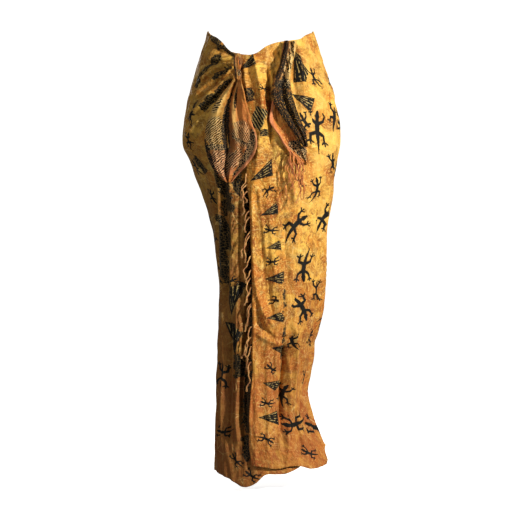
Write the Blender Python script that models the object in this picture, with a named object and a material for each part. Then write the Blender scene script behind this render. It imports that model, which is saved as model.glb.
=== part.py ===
"""A worn wrap sarong: one fringed rectangle of printed cloth, wound round the hips and tied in front.

The cloth is a wall that follows rings of a general figure. It starts under the front, goes round the
left hip, the back and the right hip, and ends in front at its fringed free edge. Two corners are
tied over the top edge and hang as tails. X is across the front, Y runs to the back and Z is up. The
origin is at the middle of the waist, level with the low point of the front's top edge.
"""

import math

import bmesh
import bpy
import numpy as np
from mathutils import Vector
from mathutils.bvhtree import BVHTree

# Driving sizes, in millimetres
MM = 0.001
WALL = 1.6
SEAM = 0.3
LAYER_STEP = 8.0

# Turns, in degrees along the wound cloth: front middle is 0, left hip 90, back 180, right hip 270
INNER_END = -38.0
UNDER_FRONT_START = 8.0
LEFT_HIP = 90.0
BACK_MIDDLE = 180.0
RIGHT_HIP = 270.0
FRONT_AGAIN = 360.0

# The inner end lies under the outer one up to the first of these turns, is clear of it at the
# second, and has come out from its inset to the figure's ring at the third
OVERLAP_END = 12.0
CLEAR_OF_OVERLAP = 24.0
INSET_START = 16.0
INSET_END = 70.0
OUTER_FOLDS_START = 60.0

# The figure's rings: how far the cloth reaches to each side of the origin at each height
SECTION_COLUMNS = ("height", "left", "right", "front", "back")
SECTIONS = (
    (60, -128, 126, 88, 96),
    (38, -133, 133, 92, 99),
    (-5, -147, 145, 99, 106),
    (-48, -161, 159, 106, 116),
    (-104, -175, 175, 113, 126),
    (-161, -185, 187, 117, 132),
    (-218, -185, 187, 116, 128),
    (-247, -171, 181, 113, 121),
    (-289, -156, 175, 108, 112),
    (-346, -135, 168, 102, 103),
    (-403, -118, 159, 98, 97),
    (-488, -107, 154, 92, 92),
    (-545, -101, 149, 88, 89),
    (-602, -102, 142, 85, 87),
    (-716, -104, 118, 81, 86),
    (-787, -107, 107, 80, 87),
    (-844, -109, 116, 82, 90),
    (-929, -111, 150, 88, 98),
    (-1015, -112, 164, 92, 103),
)

# The cloth's top edge and hem along its turns
EDGE_COLUMNS = ("turn", "top", "hem")
EDGES = (
    (-40, 18, -950),
    (-22, 8, -972),
    (-12, -1, -979),
    (-4, -10, -979),
    (8, -16, -982),
    (17, -12, -1000),
    (28, -4, -1010),
    (48, 30, -994),
    (66, 44, -984),
    (90, 57, -979),
    (135, 26, -974),
    (180, 14, -968),
    (225, 26, -960),
    (270, 57, -953),
    (304, 42, -958),
    (318, 29, -961),
    (330, 24, -959),
    (346, 17, -962),
    (355, 8, -966),
    (363, -6, -964),
    (372, -12, -961),
    (384, -9, -960),
)

# Where the free front edge lies across the front, by height
FREE_EDGE_COLUMNS = ("height", "x")
FREE_EDGE = (
    (20, -46),
    (-60, -46),
    (-120, -40),
    (-230, -34),
    (-310, -31),
    (-360, -25),
    (-420, -23),
    (-1020, -22),
)

# Folds: a soft ridge (or valley, with a depth below zero) along a bend through three points. The
# widths are those of its two slopes, seen along the bend with the left one first.
FOLD_COLUMNS = (
    "layer", "x0", "z0", "x1", "z1", "x2", "z2", "left_width", "right_width", "rise",
)
FOLDS = (
    # Fan of pleats from the knot to the left hip
    ("under", -54, -24, -96, -24, -142, -24, 9, 9, 5),
    ("under", -58, -36, -108, -54, -152, -80, 9, 9, 7),
    ("under", -60, -46, -110, -70, -160, -96, 8, 8, -4),
    ("under", -64, -58, -113, -84, -166, -114, 9, 9, 7),
    ("under", -70, -78, -118, -106, -172, -152, 10, 10, -7),
    ("under", -104, -112, -136, -136, -176, -176, 11, 14, 9),
    ("under", -112, -206, -150, -222, -182, -226, 14, 12, 6),
    # Left front: long rolled pleats beside the slit
    ("under", -104, -250, -92, -400, -97, -620, 10, 9, 8),
    ("under", -88, -290, -82, -420, -86, -600, 8, 8, -8),
    ("under", -74, -290, -66, -420, -72, -580, 9, 13, 12),
    ("under", -50, -330, -54, -460, -50, -600, 8, 8, -6),
    ("under", -78, -600, -76, -760, -79, -930, 8, 9, -9),
    ("under", -58, -590, -56, -760, -56, -915, 12, 9, 14),
    ("under", -34, -300, -33, -600, -34, -915, 9, 10, -13),
    ("under", -100, -640, -102, -800, -104, -960, 9, 10, 6),
    # Right front: the edge roll and the gathers below the knot
    ("over", -20, -10, -2, -90, 4, -196, 14, 9, 15),
    ("over", 4, -176, -10, -270, -20, -330, 13, 10, 10),
    ("over", 12, -30, 24, -120, 25, -230, 8, 9, -13),
    ("over", 26, 4, 36, -30, 34, -92, 10, 11, -8),
    ("over", 56, 12, 42, -40, 36, -104, 9, 8, 8),
    ("over", 84, 22, 92, -40, 98, -104, 9, 9, 8),
    ("over", 66, 18, 74, -60, 88, -140, 8, 8, -6),
    ("over", -22, -300, -18, -468, -8, -574, 8, 9, 10),
    ("over", -8, -560, 8, -606, 34, -640, 9, 9, 9),
    ("over", -14, -622, 9, -645, 34, -662, 8, 8, -6),
    ("over", -12, -650, 14, -668, 52, -682, 9, 9, 8),
    ("over", 8, -330, 24, -430, 34, -560, 12, 14, 5),
    ("over", 42, -250, 54, -400, 62, -560, 12, 14, -5),
    ("over", -14, -700, -12, -820, -14, -950, 10, 16, 7),
    ("over", 52, -676, 50, -770, 44, -880, 9, 10, -12),
    ("over", 76, -630, 80, -740, 76, -850, 13, 15, 11),
    ("over", 78, -800, 90, -876, 102, -950, 9, 10, -7),
    ("over", 104, -780, 127, -864, 150, -935, 10, 12, 8),
    # Right hip, back and left hip: long falls of cloth like those in front
    ("right", 158, -200, 150, -420, 142, -700, 18, 18, 5),
    ("right", 150, -440, 122, -680, 118, -940, 14, 16, -6),
    ("back", 150, -40, 70, -150, -10, -190, 14, 18, 7),
    ("back", 156, -120, 90, -250, 20, -310, 16, 20, -6),
    ("back", -150, -60, -90, -170, -30, -220, 14, 18, 7),
    ("back", 110, -330, 92, -600, 84, -950, 14, 17, 9),
    ("back", 66, -420, 54, -660, 44, -950, 13, 17, -8),
    ("back", 24, -340, 14, -640, 6, -955, 16, 14, 9),
    ("back", -22, -450, -26, -700, -30, -960, 15, 13, -8),
    ("back", -60, -360, -66, -640, -70, -960, 14, 15, 9),
    ("back", -96, -480, -94, -700, -98, -965, 12, 13, -6),
)
FOLD_STEPS = 9
FOLD_FADE_IN = (-0.04, 0.14)
FOLD_FADE_OUT = (0.82, 1.06)

# The left tail hangs from the knot like a broad leaf
TAIL_COLUMNS = ("height", "left", "right", "lift")
LEFT_TAIL = (
    (-70.4, -63, -46, 15),
    (-90, -79, -42, 13),
    (-124, -106, -34, 10),
    (-168, -125, -22, 8),
    (-204, -130, -11, 7),
    (-236, -126, -14, 7),
    (-264, -116, -32, 6),
    (-290, -98, -56, 6),
    (-304, -82, -68, 5),
)
# The right tail comes over the top edge; its folded half shows below it
RIGHT_TAIL = (
    (22, 54, 82, 5),
    (0, 50, 80, 9),
    (-34, 43, 72, 12),
    (-72, 28, 68, 13),
    (-104, 23, 70, 12),
    (-134, 34, 78, 11),
    (-162, 54, 90, 10),
    (-196, 78, 104, 9),
    (-224, 95, 107, 8),
)
RIGHT_TAIL_UNDER = (
    (-80, 38, 60, 4),
    (-110, 28, 64, 5),
    (-140, 23, 72, 5),
    (-172, 23, 84, 5),
    (-198, 40, 94, 5),
    (-222, 54, 102, 5),
    (-246, 80, 108, 5),
    (-260, 98, 110, 5),
)

# Waves across a tail: place from -1 at the left edge to 1 at the right edge, half width and rise,
# which is full this far down the tail
WAVE_FULL = 0.6
WAVE_COLUMNS = ("place", "half_width", "rise_top", "rise_end")
LEFT_TAIL_WAVES = (
    (-0.66, 0.30, 4, 10),
    (-0.05, 0.20, -4, -9),
    (0.32, 0.20, 3, 6),
    (0.88, 0.18, 3, 8),
)
RIGHT_TAIL_WAVES = (
    (-0.60, 0.30, 5, 5),
    (0.05, 0.24, -4, -4),
    (0.62, 0.30, 6, 5),
)
RIGHT_TAIL_UNDER_WAVES = (
    (-0.90, 0.16, 1, 4),
    (-0.30, 0.30, -1, -2),
    (0.40, 0.36, 1, 3),
)

# The knot: a bundle of cloth pulled round both corners
KNOT_TOP = (-55.0, -8.0)
KNOT_END = (-53.0, -70.0)
KNOT_WIDTH = 19.0
KNOT_DEPTH = 16.0
KNOT_RIB_RISE = 1.6
KNOT_RIBS = 3
KNOT_TWIST = 2.2
KNOT_SEAT = 1.0
KNOT_SLIM = 0.55
KNOT_SWELL_START = 0.12
KNOT_SWELL_LENGTH = 0.80

# Fringe strands, each a twisted bundle of the cloth's own yarn
EDGE_FRINGE_TOP = -358.0
EDGE_FRINGE_END = -700.0
EDGE_STRANDS = 30
EDGE_STRAND_SHORTEST = 36.0
EDGE_STRAND_LONGER = 17.0
EDGE_STRAND_RHYTHM = 1.7
EDGE_SPREAD = 9.0
EDGE_LANES = 3
TAIL_FRINGE_START = 0.62
TAIL_STRANDS = 11
TAIL_STRAND_SHORTEST = 54.6
TAIL_STRAND_LONGER = 39.0
TAIL_STRAND_RHYTHM = 2.1
TAIL_LANES = 3
LANE_STEP = 2.6
LANE_DEPTH = 9.0
SPREAD_DEPTH = 20.0
HANG_STEP_GROWTH = 1.3
CURL = 0.9
CURL_HEIGHT = 7.0
EDGE_ROOT_LENGTH = 1.5
EDGE_DRIFT_FORWARD = 1.0
TAIL_STRIP_LEAN = 1.0
TAIL_ROOT_OUT = 1.5
TAIL_ROOT_DOWN = 1.0
STRAND_THICKNESS = 1.4
STRAND_TAPER = 0.35
STRAND_SEGMENTS = 5
STRIP_WIDTH = 2.0
STRIP_DEPTH = 1.6

# Meshing of the knot and the tails: rows and columns, and how far round a point they clear what is
# behind them
KNOT_RINGS = 9
KNOT_SIDES = 14
LEFT_TAIL_GRID = (16, 13)
RIGHT_TAIL_GRID = (16, 9)
RIGHT_TAIL_UNDER_GRID = (12, 9)
LEFT_TAIL_REACH = 9.0
RIGHT_TAIL_REACH = 7.0
SETTLE_ROUNDS = 3
SEAT_PARTS = 5
VIEW_FROM = -0.5

# Meshing of the wound cloth, and the steps over which its slope is taken
SLOPE_TURN = 0.5
SLOPE_HEIGHT = 3.0
WAIST_ROW_STEP = 13.0
WAIST_DEPTH = 130.0
LOWER_ROWS = 19
FRONT_COLUMN_STEP = 9.5
BACK_COLUMN_STEP = 22.0
TYPICAL_RADIUS = 130.0
TYPICAL_HEIGHT = 1000.0


def column(table, names, name):
    """Pick one named column out of a table."""
    return np.array([row[names.index(name)] for row in table], dtype=float)


def smooth_read(knots, values, at):
    """Read a table as a smooth curve through its rows, level beyond both ends."""
    if knots[0] > knots[-1]:
        knots, values = knots[::-1], values[::-1]
    at = np.clip(np.asarray(at, float), knots[0], knots[-1])
    slopes = np.gradient(values, knots)
    low = np.clip(np.searchsorted(knots, at) - 1, 0, len(knots) - 2)
    span = knots[low + 1] - knots[low]
    t = (at - knots[low]) / span
    return (
        values[low] * (2 * t**3 - 3 * t**2 + 1)
        + slopes[low] * span * (t**3 - 2 * t**2 + t)
        + values[low + 1] * (3 * t**2 - 2 * t**3)
        + slopes[low + 1] * span * (t**3 - t**2)
    )


def smooth_step(value, start, end):
    t = np.clip((np.asarray(value, float) - start) / (end - start), 0.0, 1.0)
    return t * t * (3 - 2 * t)


def section(name, z):
    heights = column(SECTIONS, SECTION_COLUMNS, "height")
    return smooth_read(heights, column(SECTIONS, SECTION_COLUMNS, name), z)


def edge(name, turn):
    turns = column(EDGES, EDGE_COLUMNS, "turn")
    return smooth_read(turns, column(EDGES, EDGE_COLUMNS, name), turn)


def half_width(z):
    return (section("right", z) - section("left", z)) / 2


def middle(z):
    return (section("right", z) + section("left", z)) / 2


def front_turn(x, z):
    """The turn, from -90 to 90, at which the front of the ring reaches x."""
    return -np.degrees(np.arcsin(np.clip((x - middle(z)) / half_width(z), -1.0, 1.0)))


def ring_point(turn, z):
    """A point on the figure's ring, and the outward direction there."""
    angle = np.radians(turn)
    depth = np.where(np.cos(angle) > 0, section("front", z), section("back", z))
    width = half_width(z)
    x = middle(z) - width * np.sin(angle)
    y = -depth * np.cos(angle)
    out_x = -np.sin(angle) / width
    out_y = -np.cos(angle) / depth
    length = np.hypot(out_x, out_y)
    return x, y, out_x / length, out_y / length


def fold_turn(layer, x, z):
    """Turn a fold's place across the front, back or side into a turn along the cloth."""
    turn = front_turn(np.float64(x), np.float64(z))
    if layer == "back":
        return 180.0 - turn
    if layer == "under":
        return turn
    return FRONT_AGAIN + turn


def fold_path(fold):
    """Points along the bend of one fold, as turn and height."""
    places = ((fold["x0"], fold["z0"]), (fold["x1"], fold["z1"]), (fold["x2"], fold["z2"]))
    first, second, third = (np.array((fold_turn(fold["layer"], x, z), z)) for x, z in places)
    t = np.linspace(0.0, 1.0, FOLD_STEPS)[:, None]
    return (1 - t) * (1 - 2 * t) * first + 4 * t * (1 - t) * second + t * (2 * t - 1) * third


def fold_rise(turn, z, layers):
    """Sum of the folds of some layers at a turn and height."""
    turn = np.asarray(turn, float)
    z = np.asarray(z, float)
    total = np.zeros(np.broadcast(turn, z).shape)
    scale = half_width(z) * math.pi / 180
    for row in FOLDS:
        fold = dict(zip(FOLD_COLUMNS, row))
        if fold["layer"] not in layers:
            continue
        path = fold_path(fold)
        best = np.full(total.shape, np.inf)
        side = np.zeros(total.shape)
        along = np.zeros(total.shape)
        for step, (start, end) in enumerate(zip(path[:-1], path[1:])):
            run = np.stack([(end[0] - start[0]) * scale, np.full(total.shape, end[1] - start[1])])
            to = np.stack([(turn - start[0]) * scale, z - start[1]])
            t = np.clip((run * to).sum(0) / (run * run).sum(0), 0.0, 1.0)
            away = np.hypot(to[0] - t * run[0], to[1] - t * run[1])
            nearer = away < best
            best = np.where(nearer, away, best)
            side = np.where(nearer, run[0] * to[1] - run[1] * to[0], side)
            along = np.where(nearer, (step + t) / (FOLD_STEPS - 1), along)
        width = np.where(side > 0, fold["left_width"], fold["right_width"])
        fade = smooth_step(along, *FOLD_FADE_IN) * (1 - smooth_step(along, *FOLD_FADE_OUT))
        total += fold["rise"] * fade * np.exp(-((best / width) ** 2))
    return total


def wound_point(turn, z):
    """A point on the outer face of the wound cloth, in millimetres."""
    turn = np.asarray(turn, float)
    x, y, out_x, out_y = ring_point(turn, z)
    overlap = 1 - smooth_step(turn, OVERLAP_END, CLEAR_OF_OVERLAP)
    inset = -LAYER_STEP * (1 - smooth_step(turn, INSET_START, INSET_END))
    under = fold_rise(turn, z, ("under",))
    under = np.where(under > 0.0, under * (1 - overlap), under)
    beneath = np.minimum(fold_rise(turn + FRONT_AGAIN, z, ("over", "right")), 0.0)
    over = fold_rise(turn, z, ("over", "right", "back"))
    rise = np.where(turn < BACK_MIDDLE, inset + under + overlap * beneath, 0.0)
    rise = rise + np.where(turn > OUTER_FOLDS_START, over, 0.0)
    return np.stack([x + out_x * rise, y + out_y * rise, np.broadcast_to(z, x.shape)], axis=-1)


def wall_grids(turn, fraction):
    """Outer and inner points of a stretch of cloth, from its turns and its rows from top to hem."""
    top = edge("top", turn)
    z = top + (edge("hem", turn) - top) * fraction
    outer = wound_point(turn, z)
    across = wound_point(turn + SLOPE_TURN, z) - wound_point(turn - SLOPE_TURN, z)
    down = wound_point(turn, z - SLOPE_HEIGHT) - wound_point(turn, z + SLOPE_HEIGHT)
    normal = np.cross(across, down)
    normal /= np.linalg.norm(normal, axis=-1, keepdims=True)
    return outer, outer - normal * WALL * facing(outer, normal)


def facing(points, normals):
    """1 where the normals point away from the figure's axis, and -1 where they point at it."""
    inside = points[..., 0] * normals[..., 0] + points[..., 1] * normals[..., 1]
    return 1.0 if inside.sum() > 0 else -1.0


def row_fractions():
    """Close rows over the pleated waist and wide rows below it, as parts of the cloth's height."""
    waist = np.arange(0.0, WAIST_DEPTH, WAIST_ROW_STEP)
    lower = np.linspace(WAIST_DEPTH, TYPICAL_HEIGHT, LOWER_ROWS + 1)
    return np.concatenate([waist, lower]) / TYPICAL_HEIGHT


def material(name, colour):
    """A woven finish in one colour."""
    made = bpy.data.materials.new(name)
    made.use_nodes = True
    shader = made.node_tree.nodes["Principled BSDF"]
    shader.inputs["Base Color"].default_value = (*colour, 1.0)
    shader.inputs["Roughness"].default_value = 0.75
    shader.inputs["Metallic"].default_value = 0.0
    return made


def add_object(name, vertices, faces, finish):
    mesh = bpy.data.meshes.new(name)
    mesh.from_pydata([tuple(float(c) * MM for c in v) for v in vertices], [], faces)
    shape = bmesh.new()
    shape.from_mesh(mesh)
    bmesh.ops.triangulate(shape, faces=shape.faces)
    bmesh.ops.recalc_face_normals(shape, faces=shape.faces)
    shape.to_mesh(mesh)
    shape.free()
    mesh.materials.append(finish)
    mesh.shade_smooth()
    made = bpy.data.objects.new(name, mesh)
    bpy.context.scene.collection.objects.link(made)
    return made


def sheet_solid(name, outer, inner, finish):
    """Close two grids of points, one on each face of the cloth, into one solid wall."""
    rows, columns = outer.shape[:2]
    vertices = np.concatenate([outer.reshape(-1, 3), inner.reshape(-1, 3)])
    back = rows * columns

    def at(row, place, face=0):
        return face * back + row * columns + place

    faces = []
    for row in range(rows - 1):
        for place in range(columns - 1):
            near = (at(row, place), at(row, place + 1), at(row + 1, place + 1), at(row + 1, place))
            faces.append(near)
            faces.append(tuple(point + back for point in reversed(near)))
    for row in range(rows - 1):
        for place in (0, columns - 1):
            faces.append((at(row, place), at(row + 1, place), at(row + 1, place, 1), at(row, place, 1)))
    for place in range(columns - 1):
        for row in (0, rows - 1):
            faces.append((at(row, place), at(row, place + 1), at(row, place + 1, 1), at(row, place, 1)))
    return add_object(name, vertices, faces, finish)


def stretch(name, start, end, column_step, finish):
    """One stretch of the wound cloth between two turns, which may change with height."""
    fractions = row_fractions()
    heights = -fractions * TYPICAL_HEIGHT
    first, last = start(heights), end(heights)
    length = math.radians((last - first).mean()) * TYPICAL_RADIUS
    places = int(round(length / column_step)) + 1
    share = np.linspace(0.0, 1.0, places)[None, :]
    turns = first[:, None] + (last - first)[:, None] * share
    outer, inner = wall_grids(turns, fractions[:, None])
    return sheet_solid(name, outer, inner, finish), outer, inner


def fixed_turn(turn, seam_side=0.0):
    """A stretch's end at a fixed turn, drawn back by half a seam gap."""
    return lambda z: turn + seam_side * np.degrees(SEAM / 2 / half_width(z))


def free_edge_turn(z):
    heights = column(FREE_EDGE, FREE_EDGE_COLUMNS, "height")
    x = smooth_read(heights, column(FREE_EDGE, FREE_EDGE_COLUMNS, "x"), z)
    return FRONT_AGAIN + front_turn(x, z)


class FrontView:
    """Reads how far forward some objects reach, looking from the front."""

    def __init__(self, objects):
        self.trees = []
        for made in objects:
            corners = [v.co.copy() for v in made.data.vertices]
            sides = [tuple(p.vertices) for p in made.data.polygons]
            self.trees.append(BVHTree.FromPolygons(corners, sides))

    def front(self, x, z):
        """The foremost y at one place, in millimetres, or none where nothing is hit."""
        nearest = None
        for tree in self.trees:
            hit = tree.ray_cast(Vector((x * MM, VIEW_FROM, z * MM)), Vector((0, 1, 0)))[0]
            if hit is not None and (nearest is None or hit.y / MM < nearest):
                nearest = hit.y / MM
        return nearest

    def around(self, x, z, reach):
        """The foremost y within a small reach of a place."""
        found = []
        for step_x in (-1.0, -0.5, 0.0, 0.5, 1.0):
            for step_z in (-1.0, -0.5, 0.0, 0.5, 1.0):
                found.append(self.front(x + step_x * reach, z + step_z * reach))
        found = [y for y in found if y is not None]
        return min(found)


def wave_rise(waves, place, fraction):
    total = np.zeros(np.broadcast(place, fraction).shape)
    for row in waves:
        wave = dict(zip(WAVE_COLUMNS, row))
        growth = (wave["rise_end"] - wave["rise_top"]) * smooth_step(fraction, 0.0, WAVE_FULL)
        away = (place - wave["place"]) / wave["half_width"]
        total += (wave["rise_top"] + growth) * np.exp(-(away**2))
    return total


def tail_grids(table, waves, view, grid, reach):
    """Outer and inner points of a hanging tail that lies on what is behind it."""
    rows, columns = grid
    heights = column(table, TAIL_COLUMNS, "height")
    fraction = np.linspace(0.0, 1.0, rows)[:, None]
    z = heights[0] + (heights[-1] - heights[0]) * fraction
    left = smooth_read(heights, column(table, TAIL_COLUMNS, "left"), z)
    right = smooth_read(heights, column(table, TAIL_COLUMNS, "right"), z)
    lift = smooth_read(heights, column(table, TAIL_COLUMNS, "lift"), z)
    place = np.linspace(-1.0, 1.0, columns)[None, :]
    x = left + (right - left) * (place + 1) / 2
    z = np.broadcast_to(z, x.shape)
    behind = np.array([[view.around(x[i, j], z[i, j], reach) for j in range(columns)] for i in range(rows)])
    behind = settled(behind)
    y = behind - WALL - lift - wave_rise(waves, place, fraction)
    outer = np.stack([x, y, z], axis=-1)
    inner = outer + np.array([0.0, WALL, 0.0])
    return outer, inner


def settled(depth):
    """Smooth a grid of depths without letting any place move back."""
    for _ in range(SETTLE_ROUNDS):
        spread = np.pad(depth, 1, mode="edge")
        near = (spread[:-2, 1:-1] + spread[2:, 1:-1] + spread[1:-1, :-2] + spread[1:-1, 2:]) / 4
        depth = np.minimum(depth, (depth + near) / 2)
    return depth


def seat(outer, inner, view):
    """Move a piece back until its nearest point is one seam gap in front of what is behind it."""
    clear = np.inf
    parts = np.arange(SEAT_PARTS) / SEAT_PARTS
    for i in range(inner.shape[0] - 1):
        for j in range(inner.shape[1] - 1):
            for down in parts:
                for across in parts:
                    top = inner[i, j] * (1 - across) + inner[i, j + 1] * across
                    low = inner[i + 1, j] * (1 - across) + inner[i + 1, j + 1] * across
                    spot = top * (1 - down) + low * down
                    behind = view.front(spot[0], spot[2])
                    if behind is not None:
                        clear = min(clear, behind - spot[1])
    move = np.array([0.0, clear - 2 * SEAM, 0.0])
    return outer + move, inner + move


def loft(name, loops, finish):
    """Join closed loops of points into one body with flat ends."""
    count = len(loops[0])
    vertices = [point for loop in loops for point in loop]
    faces = [tuple(range(count)), tuple(len(vertices) - count + i for i in range(count))]
    for ring in range(len(loops) - 1):
        for i in range(count):
            a, b = ring * count + i, ring * count + (i + 1) % count
            faces.append((a, b, b + count, a + count))
    return add_object(name, vertices, faces, finish)


def knot(view, finish):
    """The knot: an upright bundle with ribs, fuller in its middle."""
    shares = [i / (KNOT_RINGS - 1) for i in range(KNOT_RINGS)]
    heart = [
        tuple(top + (end - top) * t for top, end in zip(KNOT_TOP, KNOT_END)) for t in shares
    ]
    y = min(view.around(x, z, KNOT_WIDTH / 2) for x, z in heart) - KNOT_SEAT - KNOT_DEPTH / 2
    loops = []
    for t, (x, z) in zip(shares, heart):
        full = KNOT_SLIM + (1 - KNOT_SLIM) * math.sin(math.pi * (KNOT_SWELL_START + KNOT_SWELL_LENGTH * t))
        loop = []
        for k in range(KNOT_SIDES):
            angle = 2 * math.pi * k / KNOT_SIDES
            rib = 1 + KNOT_RIB_RISE / KNOT_DEPTH * math.cos(KNOT_RIBS * angle + KNOT_TWIST * t)
            loop.append((
                x + KNOT_WIDTH / 2 * full * rib * math.cos(angle),
                y + KNOT_DEPTH / 2 * full * rib * math.sin(angle),
                z,
            ))
        loops.append(loop)
    return loft("knot", loops, finish)


def strand_path(root, drift, length):
    """A limp strand that leaves its root sideways and then hangs with a slight curl.

    Drift, the way out from the root, depends on the depth below the root alone and the curl on the
    height alone, so that neighbours keep apart.
    """
    points = []
    for k in range(1, STRAND_SEGMENTS + 1):
        depth = length * (k / STRAND_SEGMENTS) ** HANG_STEP_GROWTH
        z = root[2] - depth
        points.append((
            root[0] + drift[0] * (1 - math.exp(-depth / SPREAD_DEPTH)) + CURL * math.sin(z / CURL_HEIGHT),
            root[1] + drift[1] * (1 - math.exp(-depth / LANE_DEPTH)),
            z,
        ))
    return points


def fringe(name, spine, side, strands, finish):
    """A narrow strip along a line of points, with strands drawn out of its outer side.

    Each spine point carries a cross-section of four corners. The side step points from the cloth to
    the strands. Strands, by the number of the strip's stretch that each grows from, are lists of
    points. Every second stretch has one, so that the roots stand apart.
    """
    half = STRAND_THICKNESS / 2
    vertices = []
    for x, y, z in spine:
        vertices += [
            (x, y, z),
            (x, y + STRIP_DEPTH, z),
            (x + side[0], y + side[1] + STRIP_DEPTH, z + side[2]),
            (x + side[0], y + side[1], z + side[2]),
        ]
    faces = [(0, 1, 2, 3), tuple(len(vertices) - 4 + i for i in (3, 2, 1, 0))]
    for i in range(len(spine) - 1):
        a, b = 4 * i, 4 * i + 4
        for p, q in ((0, 1), (1, 2), (3, 0)):
            faces.append((a + p, b + p, b + q, a + q))
        previous = (a + 2, b + 2, b + 3, a + 3)
        for step, (x, y, z) in enumerate(strands.get(i, ())):
            slim = half * (1.0 - STRAND_TAPER * step / STRAND_SEGMENTS)
            start = len(vertices)
            vertices += [
                (x - slim, y + slim, z),
                (x + slim, y + slim, z),
                (x + slim, y - slim, z),
                (x - slim, y - slim, z),
            ]
            ring = (start, start + 1, start + 2, start + 3)
            for k in range(4):
                n = (k + 1) % 4
                faces.append((previous[k], previous[n], ring[n], ring[k]))
            previous = ring
        faces.append(previous)
    return add_object(name, vertices, faces, finish)


def along_edge(points, z, axis):
    """Read one coordinate of a wall's side edge at a height."""
    return float(np.interp(-z, -points[:, 2], points[:, axis]))


def edge_fringe(outer, inner, finish):
    """Strands along the free front edge, from below the left tail down to the fold at the knee.

    They hang in lanes in front of the foremost line along the edge, which keeps them apart.
    """
    stretches = EDGE_STRANDS * 2
    spine = []
    for i in range(stretches + 1):
        z = EDGE_FRINGE_TOP + (EDGE_FRINGE_END - EDGE_FRINGE_TOP) * i / stretches
        x = min(along_edge(outer[:, -1], z, 0), along_edge(inner[:, -1], z, 0))
        spine.append((x - SEAM, along_edge(outer[:, -1], z, 1), z))
    slope = (spine[-1][1] - spine[0][1]) / (spine[-1][2] - spine[0][2])
    foremost = min(y - slope * z for _, y, z in spine) - EDGE_DRIFT_FORWARD
    strands = {}
    for number in range(EDGE_STRANDS):
        x, y, z = spine[2 * number + 1]
        longer = EDGE_STRAND_LONGER * math.sin(EDGE_STRAND_RHYTHM * number) ** 2
        start = (x - STRIP_WIDTH - EDGE_ROOT_LENGTH, y + STRIP_DEPTH / 2, z)
        lane = foremost + slope * z - LANE_STEP * (number % EDGE_LANES)
        drift = (-EDGE_SPREAD, lane - start[1])
        strands[2 * number] = strand_path(start, drift, EDGE_STRAND_SHORTEST + longer)
    return fringe("front_edge_fringe", spine, (-STRIP_WIDTH, 0.0, 0.0), strands, finish)


def tail_fringe(outer, finish):
    """Strands along the lower edge of the folded half of the right tail."""
    stretches = TAIL_STRANDS * 2
    side = outer[:, 0]
    first = int(len(side) * TAIL_FRINGE_START)
    knots = np.linspace(0.0, 1.0, len(side) - first)
    spine = []
    for i in range(stretches + 1):
        x, y, z = (float(np.interp(i / stretches, knots, side[first:, axis])) for axis in range(3))
        spine.append((x - 2 * SEAM, y, z - 2 * SEAM))
    strands = {}
    for number in range(TAIL_STRANDS):
        root = spine[2 * number + 1]
        longer = TAIL_STRAND_LONGER * math.sin(TAIL_STRAND_RHYTHM * (number + 0.4)) ** 2
        below = root[2] - STRIP_WIDTH - TAIL_ROOT_DOWN
        start = (root[0] - TAIL_ROOT_OUT, root[1] + STRIP_DEPTH / 2, below)
        drift = (0.0, -LANE_STEP * (number % TAIL_LANES))
        strands[2 * number] = strand_path(start, drift, TAIL_STRAND_SHORTEST + longer)
    return fringe("tail_fringe", spine, (-TAIL_STRIP_LEAN, 0.0, -STRIP_WIDTH), strands, finish)


def build():
    for old in list(bpy.data.objects):
        bpy.data.objects.remove(old, do_unlink=True)
    gold = material("printed rayon, gold", (0.62, 0.30, 0.06))
    brown = material("printed rayon, brown side", (0.36, 0.17, 0.05))
    rust = material("printed rayon, rust", (0.48, 0.16, 0.05))
    yarn = material("rayon yarn", (0.66, 0.36, 0.14))

    to_left_hip, from_left_hip = fixed_turn(LEFT_HIP, -1), fixed_turn(LEFT_HIP, 1)
    to_right_hip, from_right_hip = fixed_turn(RIGHT_HIP, -1), fixed_turn(RIGHT_HIP, 1)
    to_under, from_inner = fixed_turn(UNDER_FRONT_START, -1), fixed_turn(UNDER_FRONT_START, 1)
    inner_end = stretch("inner_end", fixed_turn(INNER_END), to_under, FRONT_COLUMN_STEP, brown)[0]
    under = stretch("under_front", from_inner, to_left_hip, FRONT_COLUMN_STEP, brown)[0]
    stretch("back_wrap", from_left_hip, to_right_hip, BACK_COLUMN_STEP, brown)
    over, outer, inner = stretch("over_front", from_right_hip, free_edge_turn, FRONT_COLUMN_STEP, gold)

    wraps = FrontView([inner_end, under, over])
    knot(wraps, rust)
    left_outer, left_inner = tail_grids(LEFT_TAIL, LEFT_TAIL_WAVES, wraps, LEFT_TAIL_GRID, LEFT_TAIL_REACH)
    left_outer, left_inner = seat(left_outer, left_inner, wraps)
    sheet_solid("left_tail", left_outer, left_inner, rust)

    fold_outer, fold_inner = tail_grids(
        RIGHT_TAIL_UNDER, RIGHT_TAIL_UNDER_WAVES, wraps, RIGHT_TAIL_UNDER_GRID, RIGHT_TAIL_REACH
    )
    fold_outer, fold_inner = seat(fold_outer, fold_inner, wraps)
    fold = sheet_solid("right_tail_folded_half", fold_outer, fold_inner, rust)
    stack = FrontView([inner_end, under, over, fold])
    tail_outer, tail_inner = tail_grids(
        RIGHT_TAIL, RIGHT_TAIL_WAVES, stack, RIGHT_TAIL_GRID, RIGHT_TAIL_REACH
    )
    tail_outer, tail_inner = seat(tail_outer, tail_inner, stack)
    sheet_solid("right_tail", tail_outer, tail_inner, brown)

    edge_fringe(outer, inner, yarn)
    tail_fringe(fold_outer, yarn)


build()
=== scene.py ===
"""The looks of a worn wrap sarong: printed rayon wound round the hips, its knot, tails and fringe.

Sizes are in millimetres and become metres where a mesh is made. X is across the front, Y runs to the
back and Z is up, from the middle of the waist.
"""

import math

import bpy
import numpy as np
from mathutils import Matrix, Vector
from mathutils.bvhtree import BVHTree


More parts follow.
